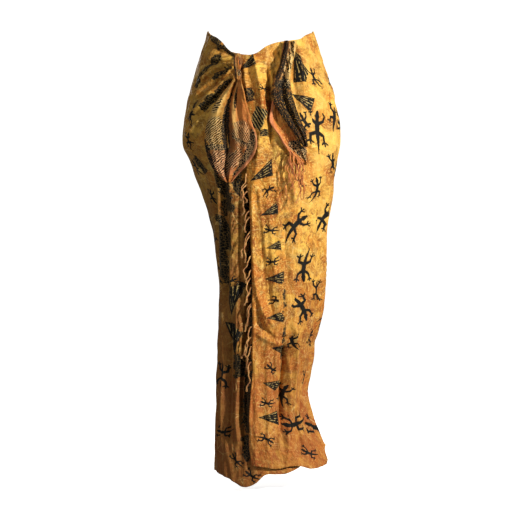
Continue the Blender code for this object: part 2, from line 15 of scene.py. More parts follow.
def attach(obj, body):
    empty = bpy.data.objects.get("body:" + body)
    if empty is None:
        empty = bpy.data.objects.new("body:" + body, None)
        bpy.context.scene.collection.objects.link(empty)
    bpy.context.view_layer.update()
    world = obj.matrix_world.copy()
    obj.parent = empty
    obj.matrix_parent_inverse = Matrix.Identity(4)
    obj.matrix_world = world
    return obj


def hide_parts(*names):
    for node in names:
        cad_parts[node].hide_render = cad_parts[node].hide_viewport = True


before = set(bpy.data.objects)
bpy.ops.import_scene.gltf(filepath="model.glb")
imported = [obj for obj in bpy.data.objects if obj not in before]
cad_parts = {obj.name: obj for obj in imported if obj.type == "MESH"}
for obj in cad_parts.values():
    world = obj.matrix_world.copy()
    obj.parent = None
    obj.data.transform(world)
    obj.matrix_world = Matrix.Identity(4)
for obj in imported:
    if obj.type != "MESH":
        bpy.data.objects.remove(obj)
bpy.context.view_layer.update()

MM = 0.001
SEED = 7

# Turns, in degrees along the wound cloth: front middle is 0, left hip 90, back 180, right hip 270
INNER_END = -38.0
BACK_MIDDLE = 180.0
FRONT_AGAIN = 360.0
LAYER_STEP = 8.0

# The inner end lies under the outer one up to the first of these turns, is clear of it at the
# second, and has come out from its inset to the garment's ring at the third
OVERLAP_END = 12.0
CLEAR_OF_OVERLAP = 24.0
INSET_START = 16.0
INSET_END = 70.0
OUTER_FOLDS_START = 60.0

# The garment's rings: how far the cloth reaches to each side of the origin at each height
SECTION_COLUMNS = ("height", "left", "right", "front", "back")
SECTIONS = (
    (60, -128, 126, 88, 96),
    (38, -133, 133, 92, 99),
    (-5, -147, 145, 99, 106),
    (-48, -161, 159, 106, 116),
    (-104, -175, 175, 113, 126),
    (-161, -185, 187, 117, 132),
    (-218, -185, 187, 116, 128),
    (-247, -171, 181, 113, 121),
    (-289, -156, 175, 108, 112),
    (-346, -135, 168, 102, 103),
    (-403, -118, 159, 98, 97),
    (-488, -107, 154, 92, 92),
    (-545, -101, 149, 88, 89),
    (-602, -102, 142, 85, 87),
    (-716, -104, 118, 81, 86),
    (-787, -107, 107, 80, 87),
    (-844, -109, 116, 82, 90),
    (-915, -111, 143, 87, 97),
    (-940, -111, 155, 89, 99),
    (-1015, -112, 166, 92, 103),
)

# The cloth's top edge and hem along its turns
EDGE_COLUMNS = ("turn", "top", "hem")
EDGES = (
    (-40, 18, -950),
    (-22, 8, -972),
    (-12, -1, -979),
    (-4, -10, -979),
    (8, -16, -982),
    (17, -12, -1000),
    (28, -4, -1010),
    (48, 30, -994),
    (66, 44, -984),
    (90, 57, -979),
    (135, 26, -974),
    (180, 14, -968),
    (225, 26, -960),
    (270, 57, -956),
    (288, 50, -962),
    (304, 42, -967),
    (318, 29, -968),
    (330, 24, -961),
    (346, 17, -962),
    (355, 8, -966),
    (363, -6, -964),
    (372, -12, -961),
    (384, -9, -960),
)

# Where the free front edge lies across the front, by height
FREE_EDGE_COLUMNS = ("height", "x")
FREE_EDGE = (
    (20, -46),
    (-60, -46),
    (-120, -40),
    (-230, -34),
    (-310, -31),
    (-360, -25),
    (-420, -23),
    (-1020, -22),
)

# Folds: a soft ridge, or a valley where the rise is negative, along a bend through three points.
# The widths are those of its two slopes, seen along the bend with the left one first.
FOLD_COLUMNS = (
    "layer", "x0", "z0", "x1", "z1", "x2", "z2", "left_width", "right_width", "rise",
)
FOLDS = (
    # Fan of pleats from the knot to the left hip
    ("under", -57, -18, -88, 0, -122, 26, 5, 5, -7),
    ("under", -55, -22, -92, -12, -134, 6, 5, 4, 5),
    ("under", -56, -26, -98, -26, -142, -26, 4, 4, -8),
    ("under", -57, -30, -101, -38, -148, -68, 6, 4, 10),
    ("under", -58, -34, -106, -48, -152, -84, 3, 4, -8),
    ("under", -58, -38, -110, -60, -157, -105, 5, 4, 10),
    ("under", -60, -46, -108, -74, -162, -122, 4, 4, -9),
    ("under", -62, -56, -104, -84, -160, -134, 4, 4, 5),
    ("under", -64, -62, -106, -97, -170, -150, 7, 5, 11),
    ("under", -68, -74, -112, -112, -166, -172, 5, 6, -10),
    ("under", -104, -118, -136, -150, -172, -206, 8, 10, 8),
    ("under", -132, -176, -158, -206, -180, -230, 9, 9, -6),
    ("under", -112, -206, -150, -222, -182, -226, 12, 10, 7),
    ("under", -57, -26, -92, -19, -136, -10, 3, 3, 6),
    ("under", -57, -32, -96, -32, -146, -48, 3, 3, 6),
    ("under", -59, -42, -102, -56, -152, -92, 3, 3, -7),
    ("under", -63, -58, -98, -80, -142, -118, 3, 3, 7),
    ("under", -62, -10, -92, 12, -120, 40, 4, 4, 5),
    # Left front: long rolled pleats beside the slit
    ("under", -104, -250, -92, -400, -97, -620, 9, 8, 8),
    ("under", -88, -290, -82, -420, -86, -600, 7, 7, -9),
    ("under", -74, -290, -66, -420, -72, -580, 7, 13, 13),
    ("under", -50, -330, -54, -460, -50, -600, 8, 8, -7),
    ("under", -78, -600, -76, -760, -79, -930, 6, 8, -10),
    ("under", -58, -590, -56, -760, -56, -915, 12, 8, 15),
    ("under", -39, -290, -38, -600, -39, -930, 7, 7, -22),
    ("under", -29, -290, -28, -600, -29, -930, 9, 9, -22),
    ("under", -100, -640, -102, -800, -104, -960, 9, 10, 6),
    # Right front: the edge roll and the gathers below the knot
    ("over", -20, -10, -2, -90, 4, -196, 14, 9, 17),
    ("over", 4, -176, -10, -270, -20, -330, 13, 10, 10),
    ("over", 12, -30, 23, -120, 24, -236, 6, 6, -19),
    ("over", 26, 4, 36, -30, 34, -92, 10, 11, -9),
    ("over", 36, -2, 44, -26, 52, -52, 5, 5, 5),
    ("over", 56, 12, 42, -40, 36, -104, 8, 7, 9),
    ("over", 84, 22, 92, -40, 98, -104, 9, 9, 9),
    ("over", 66, 18, 74, -60, 88, -140, 8, 8, -7),
    ("over", 94, 20, 118, -8, 146, -40, 6, 8, 5),
    ("over", 98, 6, 122, -30, 148, -74, 7, 8, -4),
    ("over", 46, -236, 62, -300, 66, -380, 8, 10, -5),
    ("over", -22, -300, -18, -468, -8, -574, 7, 9, 10),
    ("over", -8, -560, 8, -606, 34, -640, 8, 9, 10),
    ("over", -14, -622, 9, -645, 34, -662, 8, 8, -7),
    ("over", -12, -650, 14, -668, 52, -682, 8, 8, 9),
    ("over", 2, -430, 7, -520, 14, -590, 9, 10, -5),
    ("over", 8, -330, 24, -430, 34, -560, 12, 14, 5),
    ("over", 42, -250, 54, -400, 62, -560, 12, 14, -5),
    ("over", -14, -700, -12, -820, -14, -950, 10, 16, 7),
    ("over", 52, -676, 51, -770, 46, -880, 7, 8, -20),
    ("over", 74, -630, 78, -740, 75, -850, 10, 15, 15),
    ("over", 78, -800, 90, -876, 102, -950, 9, 10, -7),
    ("over", 104, -780, 127, -864, 150, -935, 9, 11, 9),
    ("over", 60, -860, 62, -905, 62, -955, 7, 8, 6),
    ("over", 96, -700, 118, -752, 108, -790, 8, 8, 4),
    # Fine creases beside the fan of pleats
    ("under", -126, -66, -144, -82, -168, -104, 3, 4, 4),
    ("under", -120, -108, -146, -124, -174, -140, 4, 4, -4),
    ("under", -150, -150, -140, -190, -118, -230, 5, 6, 5),
    ("under", -176, -150, -168, -200, -150, -250, 5, 6, -5),
    ("under", -166, -180, -146, -196, -128, -206, 4, 5, 4),
    # Fine creases of the left column
    ("under", -92, -600, -90, -760, -94, -940, 4, 6, 6),
    ("under", -66, -610, -66, -760, -67, -930, 4, 5, -7),
    ("under", -48, -620, -46, -760, -48, -930, 4, 5, 6),
    ("under", -110, -300, -104, -440, -108, -620, 5, 6, -6),
    ("under", -96, -300, -90, -430, -92, -620, 4, 5, 6),
    ("under", -60, -310, -58, -450, -60, -600, 4, 5, 5),
    # Fine creases of the centre band and round the right tail
    ("over", -40, -20, -36, -70, -30, -120, 4, 5, 6),
    ("over", 8, -20, 12, -60, 10, -110, 5, 6, 7),
    ("over", 22, -24, 34, -60, 30, -84, 4, 4, -6),
    ("over", 40, 0, 50, -30, 46, -64, 4, 4, -6),
    ("over", 48, 14, 38, -8, 20, -30, 4, 4, 5),
    ("over", 86, -8, 110, -20, 140, -20, 4, 4, 3),
    ("over", 84, -30, 112, -60, 150, -100, 4, 5, 3),
    ("over", 92, -200, 110, -215, 132, -236, 4, 4, 4),
    ("over", 60, -200, 80, -222, 112, -240, 4, 5, 5),
    ("over", 54, -220, 74, -250, 100, -262, 4, 4, -5),
    # Fine creases of the swag and the lower right
    ("over", -10, -300, 6, -420, 20, -540, 5, 6, 5),
    ("over", 16, -470, 20, -560, 34, -640, 6, 8, -6),
    ("over", -2, -590, 16, -640, 44, -664, 4, 5, 5),
    ("over", 40, -650, 66, -655, 90, -640, 4, 6, 4),
    ("over", -20, -560, -19, -700, -18, -930, 5, 7, 7),
    ("over", 60, -700, 66, -800, 60, -900, 5, 6, 6),
    ("over", 88, -690, 96, -780, 94, -860, 5, 6, -5),
    ("over", 110, -850, 130, -900, 152, -925, 4, 5, 4),
    ("over", 10, -700, 16, -820, 12, -940, 6, 8, 4),
    ("over", 28, -720, 34, -830, 32, -940, 6, 7, -4),
    # Right hip, back and left hip: pulls and long falls of cloth like those in front
    ("right", 158, -200, 150, -420, 142, -700, 16, 16, 8),
    ("right", 150, -440, 126, -680, 118, -940, 12, 14, -9),
    ("right", 168, -60, 172, -190, 160, -400, 10, 12, 6),
    ("right", 146, -300, 138, -520, 126, -760, 8, 10, -6),
    ("back", 160, 10, 110, -60, 20, -96, 8, 12, 7),
    ("back", 166, -40, 96, -130, -10, -170, 9, 13, 10),
    ("back", 168, -120, 96, -240, 20, -300, 10, 14, -8),
    ("back", 164, -220, 110, -330, 50, -400, 10, 12, 7),
    ("back", -150, 0, -100, -70, -40, -110, 8, 12, 7),
    ("back", -158, -60, -96, -160, -30, -220, 9, 13, 10),
    ("back", -160, -150, -100, -250, -50, -310, 10, 12, -7),
    ("back", 140, -420, 134, -660, 122, -950, 11, 13, 10),
    ("back", 110, -330, 96, -600, 88, -950, 11, 13, -10),
    ("back", 66, -420, 58, -660, 50, -950, 11, 13, 12),
    ("back", 24, -340, 14, -640, 6, -955, 12, 11, -10),
    ("back", -22, -450, -26, -700, -30, -960, 12, 11, 12),
    ("back", -58, -360, -60, -640, -62, -960, 11, 12, -9),
    ("back", -88, -480, -86, -700, -88, -965, 9, 10, 9),
    # Fine creases of the back
    ("back", 140, -20, 90, -80, 30, -110, 5, 6, 5),
    ("back", 150, -80, 110, -150, 60, -190, 5, 6, -5),
    ("back", -130, -30, -90, -90, -50, -120, 5, 6, 5),
    ("back", -140, -100, -100, -170, -60, -210, 5, 6, -5),
    ("back", 90, -500, 80, -700, 70, -940, 6, 7, 6),
    ("back", 40, -520, 32, -720, 26, -940, 6, 7, 5),
    ("back", -4, -560, -8, -760, -12, -950, 6, 7, -6),
    ("back", -44, -600, -44, -780, -46, -950, 6, 7, 6),
)
FOLD_STEPS = 9
# A fold is worked out this many of its widths away from its bend
FOLD_REACH = 4.0
# How round a fold's crest is, and how its flanks fall away
CREST = 2.2
FLANK = 0.62
FOLD_FADE_IN = (-0.04, 0.14)
FOLD_FADE_OUT = (0.82, 1.06)

# The left tail hangs from the knot like a broad leaf
TAIL_COLUMNS = ("height", "left", "right", "lift")
LEFT_TAIL = (
    (-70.4, -63, -46, 15),
    (-90, -79, -42, 13),
    (-124, -106, -34, 10),
    (-168, -125, -22, 8),
    (-204, -130, -11, 7),
    (-236, -126, -14, 7),
    (-264, -116, -32, 6),
    (-290, -98, -56, 6),
    (-304, -82, -68, 5),
)
# The right tail comes over the top edge; its folded half shows below it
RIGHT_TAIL = (
    (22, 54, 82, 5),
    (0, 50, 80, 9),
    (-34, 43, 72, 12),
    (-72, 28, 68, 13),
    (-104, 23, 71, 12),
    (-134, 33, 80, 11),
    (-162, 52, 91, 10),
    (-196, 77, 104, 9),
    (-224, 95, 108, 8),
)
RIGHT_TAIL_UNDER = (
    (-80, 38, 60, 4),
    (-110, 28, 64, 5),
    (-140, 23, 72, 5),
    (-172, 23, 84, 5),
    (-198, 40, 94, 5),
    (-222, 54, 102, 5),
    (-246, 80, 108, 5),
    (-260, 98, 110, 5),
)

# Waves across a tail: place from -1 at the left edge to 1 at the right edge, half width and rise,
# which is full this far down the tail
WAVE_FULL = 0.6
WAVE_COLUMNS = ("place", "half_width", "rise_top", "rise_end")
LEFT_TAIL_WAVES = (
    (-0.64, 0.30, 4, 11),
    (-0.10, 0.13, -6, -11),
    (0.20, 0.24, 3, 9),
    (0.66, 0.16, 0, 2),
    (0.95, 0.10, 3, 4),
)
RIGHT_TAIL_WAVES = (
    (-0.60, 0.30, 5, 5),
    (0.05, 0.24, -4, -4),
    (0.62, 0.30, 6, 5),
)
RIGHT_TAIL_UNDER_WAVES = (
    (-0.90, 0.16, 1, 4),
    (-0.30, 0.30, -1, -2),
    (0.40, 0.36, 1, 3),
)


def column(table, names, name):
    """Pick one named column out of a table."""
    return np.array([row[names.index(name)] for row in table], dtype=float)


def smooth_read(knots, values, at):
    """Read a table as a smooth curve through its rows, level beyond both ends."""
    if knots[0] > knots[-1]:
        knots, values = knots[::-1], values[::-1]
    at = np.clip(np.asarray(at, float), knots[0], knots[-1])
    slopes = np.gradient(values, knots)
    low = np.clip(np.searchsorted(knots, at) - 1, 0, len(knots) - 2)
    span = knots[low + 1] - knots[low]
    t = (at - knots[low]) / span
    return (
        values[low] * (2 * t**3 - 3 * t**2 + 1)
        + slopes[low] * span * (t**3 - 2 * t**2 + t)
        + values[low + 1] * (3 * t**2 - 2 * t**3)
        + slopes[low + 1] * span * (t**3 - t**2)
    )


def smooth_step(value, start, end):
    """Rise from 0 to 1 between two values, level at both ends."""
    t = np.clip((np.asarray(value, float) - start) / (end - start), 0.0, 1.0)
    return t * t * (3 - 2 * t)


def section(name, z):
    """How far the garment's ring reaches to one side at a height."""
    heights = column(SECTIONS, SECTION_COLUMNS, "height")
    return smooth_read(heights, column(SECTIONS, SECTION_COLUMNS, name), z)


def edge(name, turn):
    """Height of the top edge or the hem at a turn."""
    turns = column(EDGES, EDGE_COLUMNS, "turn")
    return smooth_read(turns, column(EDGES, EDGE_COLUMNS, name), turn)


def half_width(z):
    """Half of the ring's width at a height."""
    return (section("right", z) - section("left", z)) / 2


def middle(z):
    """The ring's middle across at a height."""
    return (section("right", z) + section("left", z)) / 2


def front_turn(x, z):
    """The turn, from -90 to 90, at which the front of the ring reaches x."""
    return -np.degrees(np.arcsin(np.clip((x - middle(z)) / half_width(z), -1.0, 1.0)))


def ring_point(turn, z):
    """A point on the garment's ring, and the outward direction there."""
    angle = np.radians(turn)
    depth = np.where(np.cos(angle) > 0, section("front", z), section("back", z))
    width = half_width(z)
    x = middle(z) - width * np.sin(angle)
    y = -depth * np.cos(angle)
    out_x = -np.sin(angle) / width
    out_y = -np.cos(angle) / depth
    length = np.hypot(out_x, out_y)
    return x, y, out_x / length, out_y / length


def fold_turn(layer, x, z):
    """Turn a fold's place across the front, back or side into a turn along the cloth."""
    turn = front_turn(np.float64(x), np.float64(z))
    if layer == "back":
        return 180.0 - turn
    if layer == "under":
        return turn
    return FRONT_AGAIN + turn


def fold_path(fold):
    """Points along the bend of one fold, as turn and height."""
    places = ((fold["x0"], fold["z0"]), (fold["x1"], fold["z1"]), (fold["x2"], fold["z2"]))
    first, second, third = (np.array((fold_turn(fold["layer"], x, z), z)) for x, z in places)
    t = np.linspace(0.0, 1.0, FOLD_STEPS)[:, None]
    return (1 - t) * (1 - 2 * t) * first + 4 * t * (1 - t) * second + t * (2 * t - 1) * third


def fold_rise(turn, z, layers):
    """Sum of the folds of some layers at a turn and height."""
    turn, z = np.broadcast_arrays(np.asarray(turn, float), np.asarray(z, float))
    shape = turn.shape
    turn, z = turn.ravel(), z.ravel()
    total = np.zeros(turn.shape)
    scale = half_width(z) * math.pi / 180
    for row in FOLDS:
        fold = dict(zip(FOLD_COLUMNS, row))
        if fold["layer"] not in layers:
            continue
        path = fold_path(fold)
        reach = FOLD_REACH * max(fold["left_width"], fold["right_width"])
        low, high = path.min(0) - reach, path.max(0) + reach
        near = (turn > low[0]) & (turn < high[0]) & (z > low[1]) & (z < high[1])
        if not near.any():
            continue
        here, level, stretch = turn[near], z[near], scale[near]
        best = np.full(here.shape, np.inf)
        side = np.zeros(here.shape)
        along = np.zeros(here.shape)
        for step, (start, end) in enumerate(zip(path[:-1], path[1:])):
            run = np.stack([(end[0] - start[0]) * stretch, np.full(here.shape, end[1] - start[1])])
            to = np.stack([(here - start[0]) * stretch, level - start[1]])
            t = np.clip((run * to).sum(0) / (run * run).sum(0), 0.0, 1.0)
            away = np.hypot(to[0] - t * run[0], to[1] - t * run[1])
            nearer = away < best
            best = np.where(nearer, away, best)
            side = np.where(nearer, run[0] * to[1] - run[1] * to[0], side)
            along = np.where(nearer, (step + t) / (FOLD_STEPS - 1), along)
        width = np.where(side > 0, fold["left_width"], fold["right_width"])
        fade = smooth_step(along, *FOLD_FADE_IN) * (1 - smooth_step(along, *FOLD_FADE_OUT))
        total[near] += fold["rise"] * fade * np.exp(-(np.hypot(best, CREST) - CREST) / (FLANK * width))
    return total.reshape(shape)


def wound_point(turn, z, extra=0.0):
    """A point on the outer face of the wound cloth, in millimetres."""
    turn = np.asarray(turn, float)
    x, y, out_x, out_y = ring_point(turn, z)
    overlap = 1 - smooth_step(turn, OVERLAP_END, CLEAR_OF_OVERLAP)
    inset = -LAYER_STEP * (1 - smooth_step(turn, INSET_START, INSET_END))
    under = fold_rise(turn, z, ("under",))
    under = np.where(under > 0.0, under * (1 - overlap), under)
    beneath = np.minimum(fold_rise(turn + FRONT_AGAIN, z, ("over", "right")), 0.0)
    over = fold_rise(turn, z, ("over", "right", "back"))
    rise = np.where(turn < BACK_MIDDLE, inset + under + overlap * beneath, 0.0)
    rise = rise + np.where(turn > OUTER_FOLDS_START, over, 0.0) + extra
    return np.stack([x + out_x * rise, y + out_y * rise, np.broadcast_to(z, x.shape)], axis=-1)


def free_edge_turn(z):
    """The turn at which the free front edge lies at a height."""
    heights = column(FREE_EDGE, FREE_EDGE_COLUMNS, "height")
    x = smooth_read(heights, column(FREE_EDGE, FREE_EDGE_COLUMNS, "x"), z)
    return FRONT_AGAIN + front_turn(x, z)


# Print, listed one by one in front: motif centres as seen from the front, how far each is turned to the
# left from upright, its length, and how far it leans to one side
MOTIF_COLUMNS = ("layer", "kind", "x", "z", "turned", "length", "lean")
MOTIFS = (
    # Geckos on the right front
    ("over", "gecko", 106, -170, 42, 58, 0.6),
    ("over", "gecko", 131, -186, 2, 96, 0.4),
    ("over", "gecko", 131, -322, -12, 58, -1.0),
    ("over", "gecko", 92, -306, 30, 34, 0.5),
    ("over", "gecko", 78, -405, -42, 80, 0.6),
    ("over", "gecko", 146, -387, -28, 66, 0.4),
    ("over", "gecko", 101, -495, 170, 78, -0.5),
    ("over", "gecko", 95, -590, -138, 82, 0.5),
    ("over", "gecko", 71, -675, 24, 46, 1.0),
    ("over", "gecko", 132, -560, 12, 60, 0.6),
    ("over", "gecko", 116, -668, -8, 44, 0.5),
    ("over", "gecko", 104, -762, 10, 40, 0.4),
    ("over", "gecko", 53, -798, -14, 52, 0.5),
    ("over", "gecko", 84, -866, 98, 72, 0.5),
    ("over", "gecko", 125, -62, 22, 52, 0.8),
    ("over", "gecko", 8, -92, 80, 26, 0.4),
    ("over", "gecko", 158, -470, 4, 58, 0.5),
    ("over", "gecko", 118, -935, 70, 44, 0.6),
    ("over", "gecko", 170, -150, -20, 62, 0.4),
    ("over", "gecko", 166, -262, 30, 58, 0.6),
    # Geckos along the border band
    ("over", "gecko", 15, -324, -52, 38, 0.6),
    ("over", "gecko", 25, -416, 84, 36, 0.5),
    ("over", "gecko", 29, -488, 98, 36, 0.6),
    ("over", "gecko", 35, -577, -100, 42, 0.5),
    ("over", "gecko", 27, -737, 62, 38, 0.6),
    ("over", "gecko", 17, -816, 84, 37, 0.5),
    ("over", "gecko", 9, -896, -112, 42, 0.5),
    # Pointed border pieces along the band, their points to the left
    ("over", "point", 2, -303, 0, 54, 1.2),
    ("over", "point", 19, -382, 0, 42, 0.9),
    ("over", "point", 29, -457, 0, 36, 0.5),
    ("over", "point", 31, -528, 0, 46, 0.1),
    ("over", "point", 34, -618, 0, 44, 0.2),
    ("over", "point", 41, -687, 0, 36, -0.3),
    ("over", "point", 26, -768, 0, 46, -0.5),
    ("over", "point", 18, -848, 0, 48, -0.1),
    ("over", "net", 54, -575, 0, 80, 0.01),
    ("over", "net", 53, -655, 0, 60, 0.01),
    ("over", "net", 50, -728, 4, 60, 0.01),
    # Pieces of the border gathered round the knot and the right tail
    ("over", "point", 96, -116, -32, 56, 0.2),
    ("over", "point", 86, -34, -84, 78, 0.2),
    ("over", "stripes", -7, -160, -24, 46, 0.30),
    ("over", "point", -30, -40, 20, 40, 0.6),
    ("over", "net", -28, -104, 14, 34, 0.34),
    ("over", "net", 8, -192, 0, 16, 0.6),
    # The inner end's border, left of the slit and down inside it, some of its dark print also painted shade
    # Net just below the left tail: print that also paints the shadow the tail casts
    ("under", "net", -84, -322, -2, 92, 0.15),
    ("under", "net", -87, -420, 8, 80, 0.20),
    ("under", "net", -90, -500, -4, 76, 0.15),
    # Net just below the left tail: print that also paints the shadow the tail casts
    ("under", "net", -54, -312, 0, 70, 0.18),
    ("under", "point", -62, -574, 74, 84, 0.4),
    ("under", "point", -58, -672, 84, 78, 0.4),
    ("under", "net", -56, -732, 8, 74, 0.17),
    ("under", "gecko", -68, -534, -54, 32, 0.5),
    # Net strip down inside the slit: dark print that paints the slit's shade
    ("under", "net", -32, -372, 0, 60, 0.13),
    ("under", "net", -32, -436, 0, 70, 0.12),
    ("under", "net", -32, -506, 0, 70, 0.12),
    ("under", "net", -32, -576, 0, 60, 0.12),
    ("under", "net", -32, -640, 0, 70, 0.12),
    ("under", "net", -32, -706, 0, 60, 0.13),
    ("under", "net", -36, -774, 0, 78, 0.17),
    ("under", "net", -36, -850, 0, 78, 0.17),
    ("under", "net", -36, -918, 0, 60, 0.20),
    # Geckos on the left front
    ("under", "gecko", -152, -269, 38, 46, 0.6),
    ("under", "gecko", -116, -338, 4, 40, 0.5),
    ("under", "gecko", -90, -748, 176, 66, 0.4),
    ("under", "gecko", -88, -886, 96, 46, 0.6),
    ("under", "gecko", -22, -986, 64, 44, 0.5),
    # Border and geckos gathered into the fan of pleats, where only patches of ink show
    ("under", "net", -108, 26, 46, 50, 0.17),
    ("under", "net", -78, 0, 52, 50, 0.15),
    ("under", "net", -112, -22, -52, 58, 0.13),
    ("under", "net", -142, -56, -26, 50, 0.15),
    ("under", "net", -92, -48, -66, 50, 0.12),
    ("under", "net", -88, -84, -58, 52, 0.14),
    ("under", "net", -122, -116, -56, 56, 0.15),
    ("under", "net", -158, -132, -20, 40, 0.14),
    ("under", "gecko", -166, -150, -30, 46, 0.6),
    ("under", "gecko", -172, -206, 12, 44, 0.5),
    ("under", "net", -144, -262, 34, 40, 0.2),
    ("under", "gecko", -132, -378, 12, 52, 0.6),
    ("under", "gecko", -98, -520, 8, 56, 0.5),
    ("under", "gecko", -104, -640, -170, 56, 0.5),
    ("under", "gecko", -60, -952, 40, 42, 0.5),
)
MOTIF_KINDS = ("gecko", "point", "stripes", "net")
# Rows of geckos over the sides and the back, which the listed ones leave out
HIDDEN_TURNS = (70, 292, 33)
HIDDEN_HEIGHTS = (-40, -950, -118)
HIDDEN_LENGTHS = (52.0, 88.0)
HIDDEN_STAGGER = 59
HIDDEN_TURN_PLAY = 7
HIDDEN_HEIGHT_PLAY = 18
MOTIF_CLEARANCE = 58.0

# A gecko seen from above, in parts of its length. Limbs off its middle line come in pairs.
LIMB_COLUMNS = ("x0", "y0", "x1", "y1", "start_radius", "end_radius")
GECKO_LIMBS = (
    # Head, body and tail
    (0.0, 0.46, 0.0, 0.36, 0.040, 0.076),
    (0.0, 0.36, 0.0, 0.24, 0.052, 0.058),
    (0.0, 0.22, 0.0, -0.06, 0.074, 0.068),
    (0.0, -0.06, 0.0, -0.30, 0.058, 0.038),
    (0.0, -0.30, 0.0, -0.54, 0.038, 0.014),
    # Fore leg and toes
    (0.04, 0.18, 0.18, 0.27, 0.046, 0.036),
    (0.18, 0.27, 0.23, 0.39, 0.036, 0.032),
    (0.23, 0.39, 0.17, 0.45, 0.026, 0.022),
    (0.23, 0.39, 0.25, 0.48, 0.026, 0.022),
    (0.23, 0.39, 0.32, 0.43, 0.026, 0.022),
    # Hind leg and toes
    (0.04, -0.04, 0.18, -0.09, 0.054, 0.040),
    (0.18, -0.09, 0.20, -0.23, 0.040, 0.032),
    (0.20, -0.23, 0.13, -0.29, 0.026, 0.022),
    (0.20, -0.23, 0.21, -0.33, 0.026, 0.022),
    (0.20, -0.23, 0.29, -0.28, 0.026, 0.022),
)

# Mesh of the wound cloth: its steps in degrees from each turn on, and its rows from top to hem
WRAP_STEPS = ((-38, 2.4), (-14, 0.92), (100, 2.3), (258, 0.98), (360, 0.9))
LAST_TURN = 371.0
WRAP_ROWS = 292
ROLL_RADIUS = 1.1
ROLL_ANGLES = (60, 120, 180, 240)
# The cloth's print map rolls it out on a ring of this radius, in metres
EVEN_RADIUS = 0.135
# The free edge is read over this height, from the origin down
FREE_EDGE_SPAN = 1000.0

# Small creases between the folds: how many, their lengths across and down, and their rise
CRUMPLES = (
    (14, (44.0, 120.0), (160.0, 700.0), 0.50),
    (22, (18.0, 44.0), (70.0, 260.0), 0.34),
)
# Length over which each crease comes and goes
CRUMPLE_RUNS = (70.0, 240.0)


def motif_records():
    """Every motif with its turn and height along the cloth, listed in front and in rows behind."""
    records = []
    for row in MOTIFS:
        motif = dict(zip(MOTIF_COLUMNS, row))
        motif["turn"] = float(fold_turn(motif["layer"], motif["x"], motif["z"]))
        records.append(motif)
    dice = np.random.default_rng(SEED)
    placed = list(records)
    for number, turn in enumerate(range(*HIDDEN_TURNS)):
        for z in range(*HIDDEN_HEIGHTS):
            here = turn + dice.uniform(-HIDDEN_TURN_PLAY, HIDDEN_TURN_PLAY)
            stagger = HIDDEN_STAGGER if number % 2 else 0
            level = z - stagger + dice.uniform(-HIDDEN_HEIGHT_PLAY, HIDDEN_HEIGHT_PLAY)
            apart = [
                math.hypot(math.radians(here - m["turn"]) * float(half_width(level)), level - m["z"])
                for m in placed
            ]
            motif = {
                "kind": "gecko", "turn": here, "z": level, "turned": dice.uniform(-180, 180),
                "length": dice.uniform(*HIDDEN_LENGTHS), "lean": dice.uniform(-1, 1),
            }
            if min(apart) > MOTIF_CLEARANCE:
                records.append(motif)
    return records


def turn_length(turn, z):
    """Millimetres along the cloth for one degree of turn."""
    ends = [np.array(ring_point(turn + step, z)[:2]) for step in (-0.5, 0.5)]
    return float(np.linalg.norm(ends[1] - ends[0]))


def motif_maps(turn, z, faces):
    """Each corner's place in the motif nearest to its face, in motif lengths, and its kind and lean."""
    turn, z = turn.ravel()[faces], z.ravel()[faces]
    best = np.full(len(faces), np.inf)
    place = np.full((len(faces), 4, 2), 9.0)
    kind = np.zeros((len(faces), 4, 2))
    for motif in motif_records():
        size = turn_length(motif["turn"], motif["z"])
        across = (motif["turn"] - turn) * size
        up = z - motif["z"]
        away = np.hypot(across.mean(1), up.mean(1)) / motif["length"]
        nearer = away < best
        best = np.where(nearer, away, best)
        angle = math.radians(motif["turned"])
        local = np.stack([
            across * math.cos(angle) + up * math.sin(angle),
            up * math.cos(angle) - across * math.sin(angle),
        ], axis=-1) / motif["length"]
        place[nearer] = local[nearer]
        kind[nearer] = (MOTIF_KINDS.index(motif["kind"]) + 1, motif["lean"])
    return place, kind


def wrap_places():
    """Shares along the wound cloth, close together in front and wider apart behind."""
    turns = []
    ends = [turn for turn, _ in WRAP_STEPS[1:]] + [LAST_TURN]
    for (start, step), end in zip(WRAP_STEPS, ends):
        turns += list(np.linspace(start, end, round((end - start) / step), endpoint=False))
    turns = np.array(turns + [LAST_TURN])
    return (turns - turns[0]) / (turns[-1] - turns[0])


def crumple(turn, z):
    """Small creases with sharp crests that hang mostly upright and come and go, as crushed rayon has."""
    dice = np.random.default_rng(SEED)
    around = np.radians(turn) * EVEN_RADIUS / MM
    total = np.zeros(np.broadcast(turn, z).shape)
    for number, across_range, down_range, rise in CRUMPLES:
        for _ in range(number):
            across = dice.uniform(*across_range)
            down = dice.uniform(*down_range) * dice.choice((-1.0, 1.0))
            run = dice.uniform(*CRUMPLE_RUNS)
            phases = dice.uniform(0.0, 2 * math.pi, 2)
            crest = 1 - 2 * np.abs(np.sin(math.pi * (around / across + z / down) + phases[0]))
            there = 0.5 + 0.5 * np.sin(2 * math.pi * (z / run + around / (2.3 * run)) + phases[1])
            total += rise * crest * there
    return total


def grid_faces(rows, columns):
    """Four-sided faces between the points of a grid."""
    at = np.arange(rows * columns).reshape(rows, columns)
    return np.stack([at[:-1, :-1], at[:-1, 1:], at[1:, 1:], at[1:, :-1]], axis=-1).reshape(-1, 4)


def unit(vectors):
    """Directions, each one unit long."""
    return vectors / np.linalg.norm(vectors, axis=-1, keepdims=True)


def rolled(points, axis, last, inward):
    """Add a small roll to one edge of a grid of points, so that the cloth's edge has a hem's thickness."""
    points = np.moveaxis(points, axis, 0)
    inward = np.moveaxis(inward, axis, 0)
    ends = (points[-1], points[-4], inward[-1]) if last else (points[0], points[3], inward[0])
    out = unit(ends[0] - ends[1])
    into = unit(ends[2] - (ends[2] * out).sum(-1, keepdims=True) * out)
    roll = [
        ends[0] + ROLL_RADIUS * (math.sin(a) * out + (1 - math.cos(a)) * into)
        for a in map(math.radians, ROLL_ANGLES)
    ]
    parts = [points, np.stack(roll)] if last else [np.stack(roll[::-1]), points]
    return np.moveaxis(np.concatenate(parts), 0, axis)


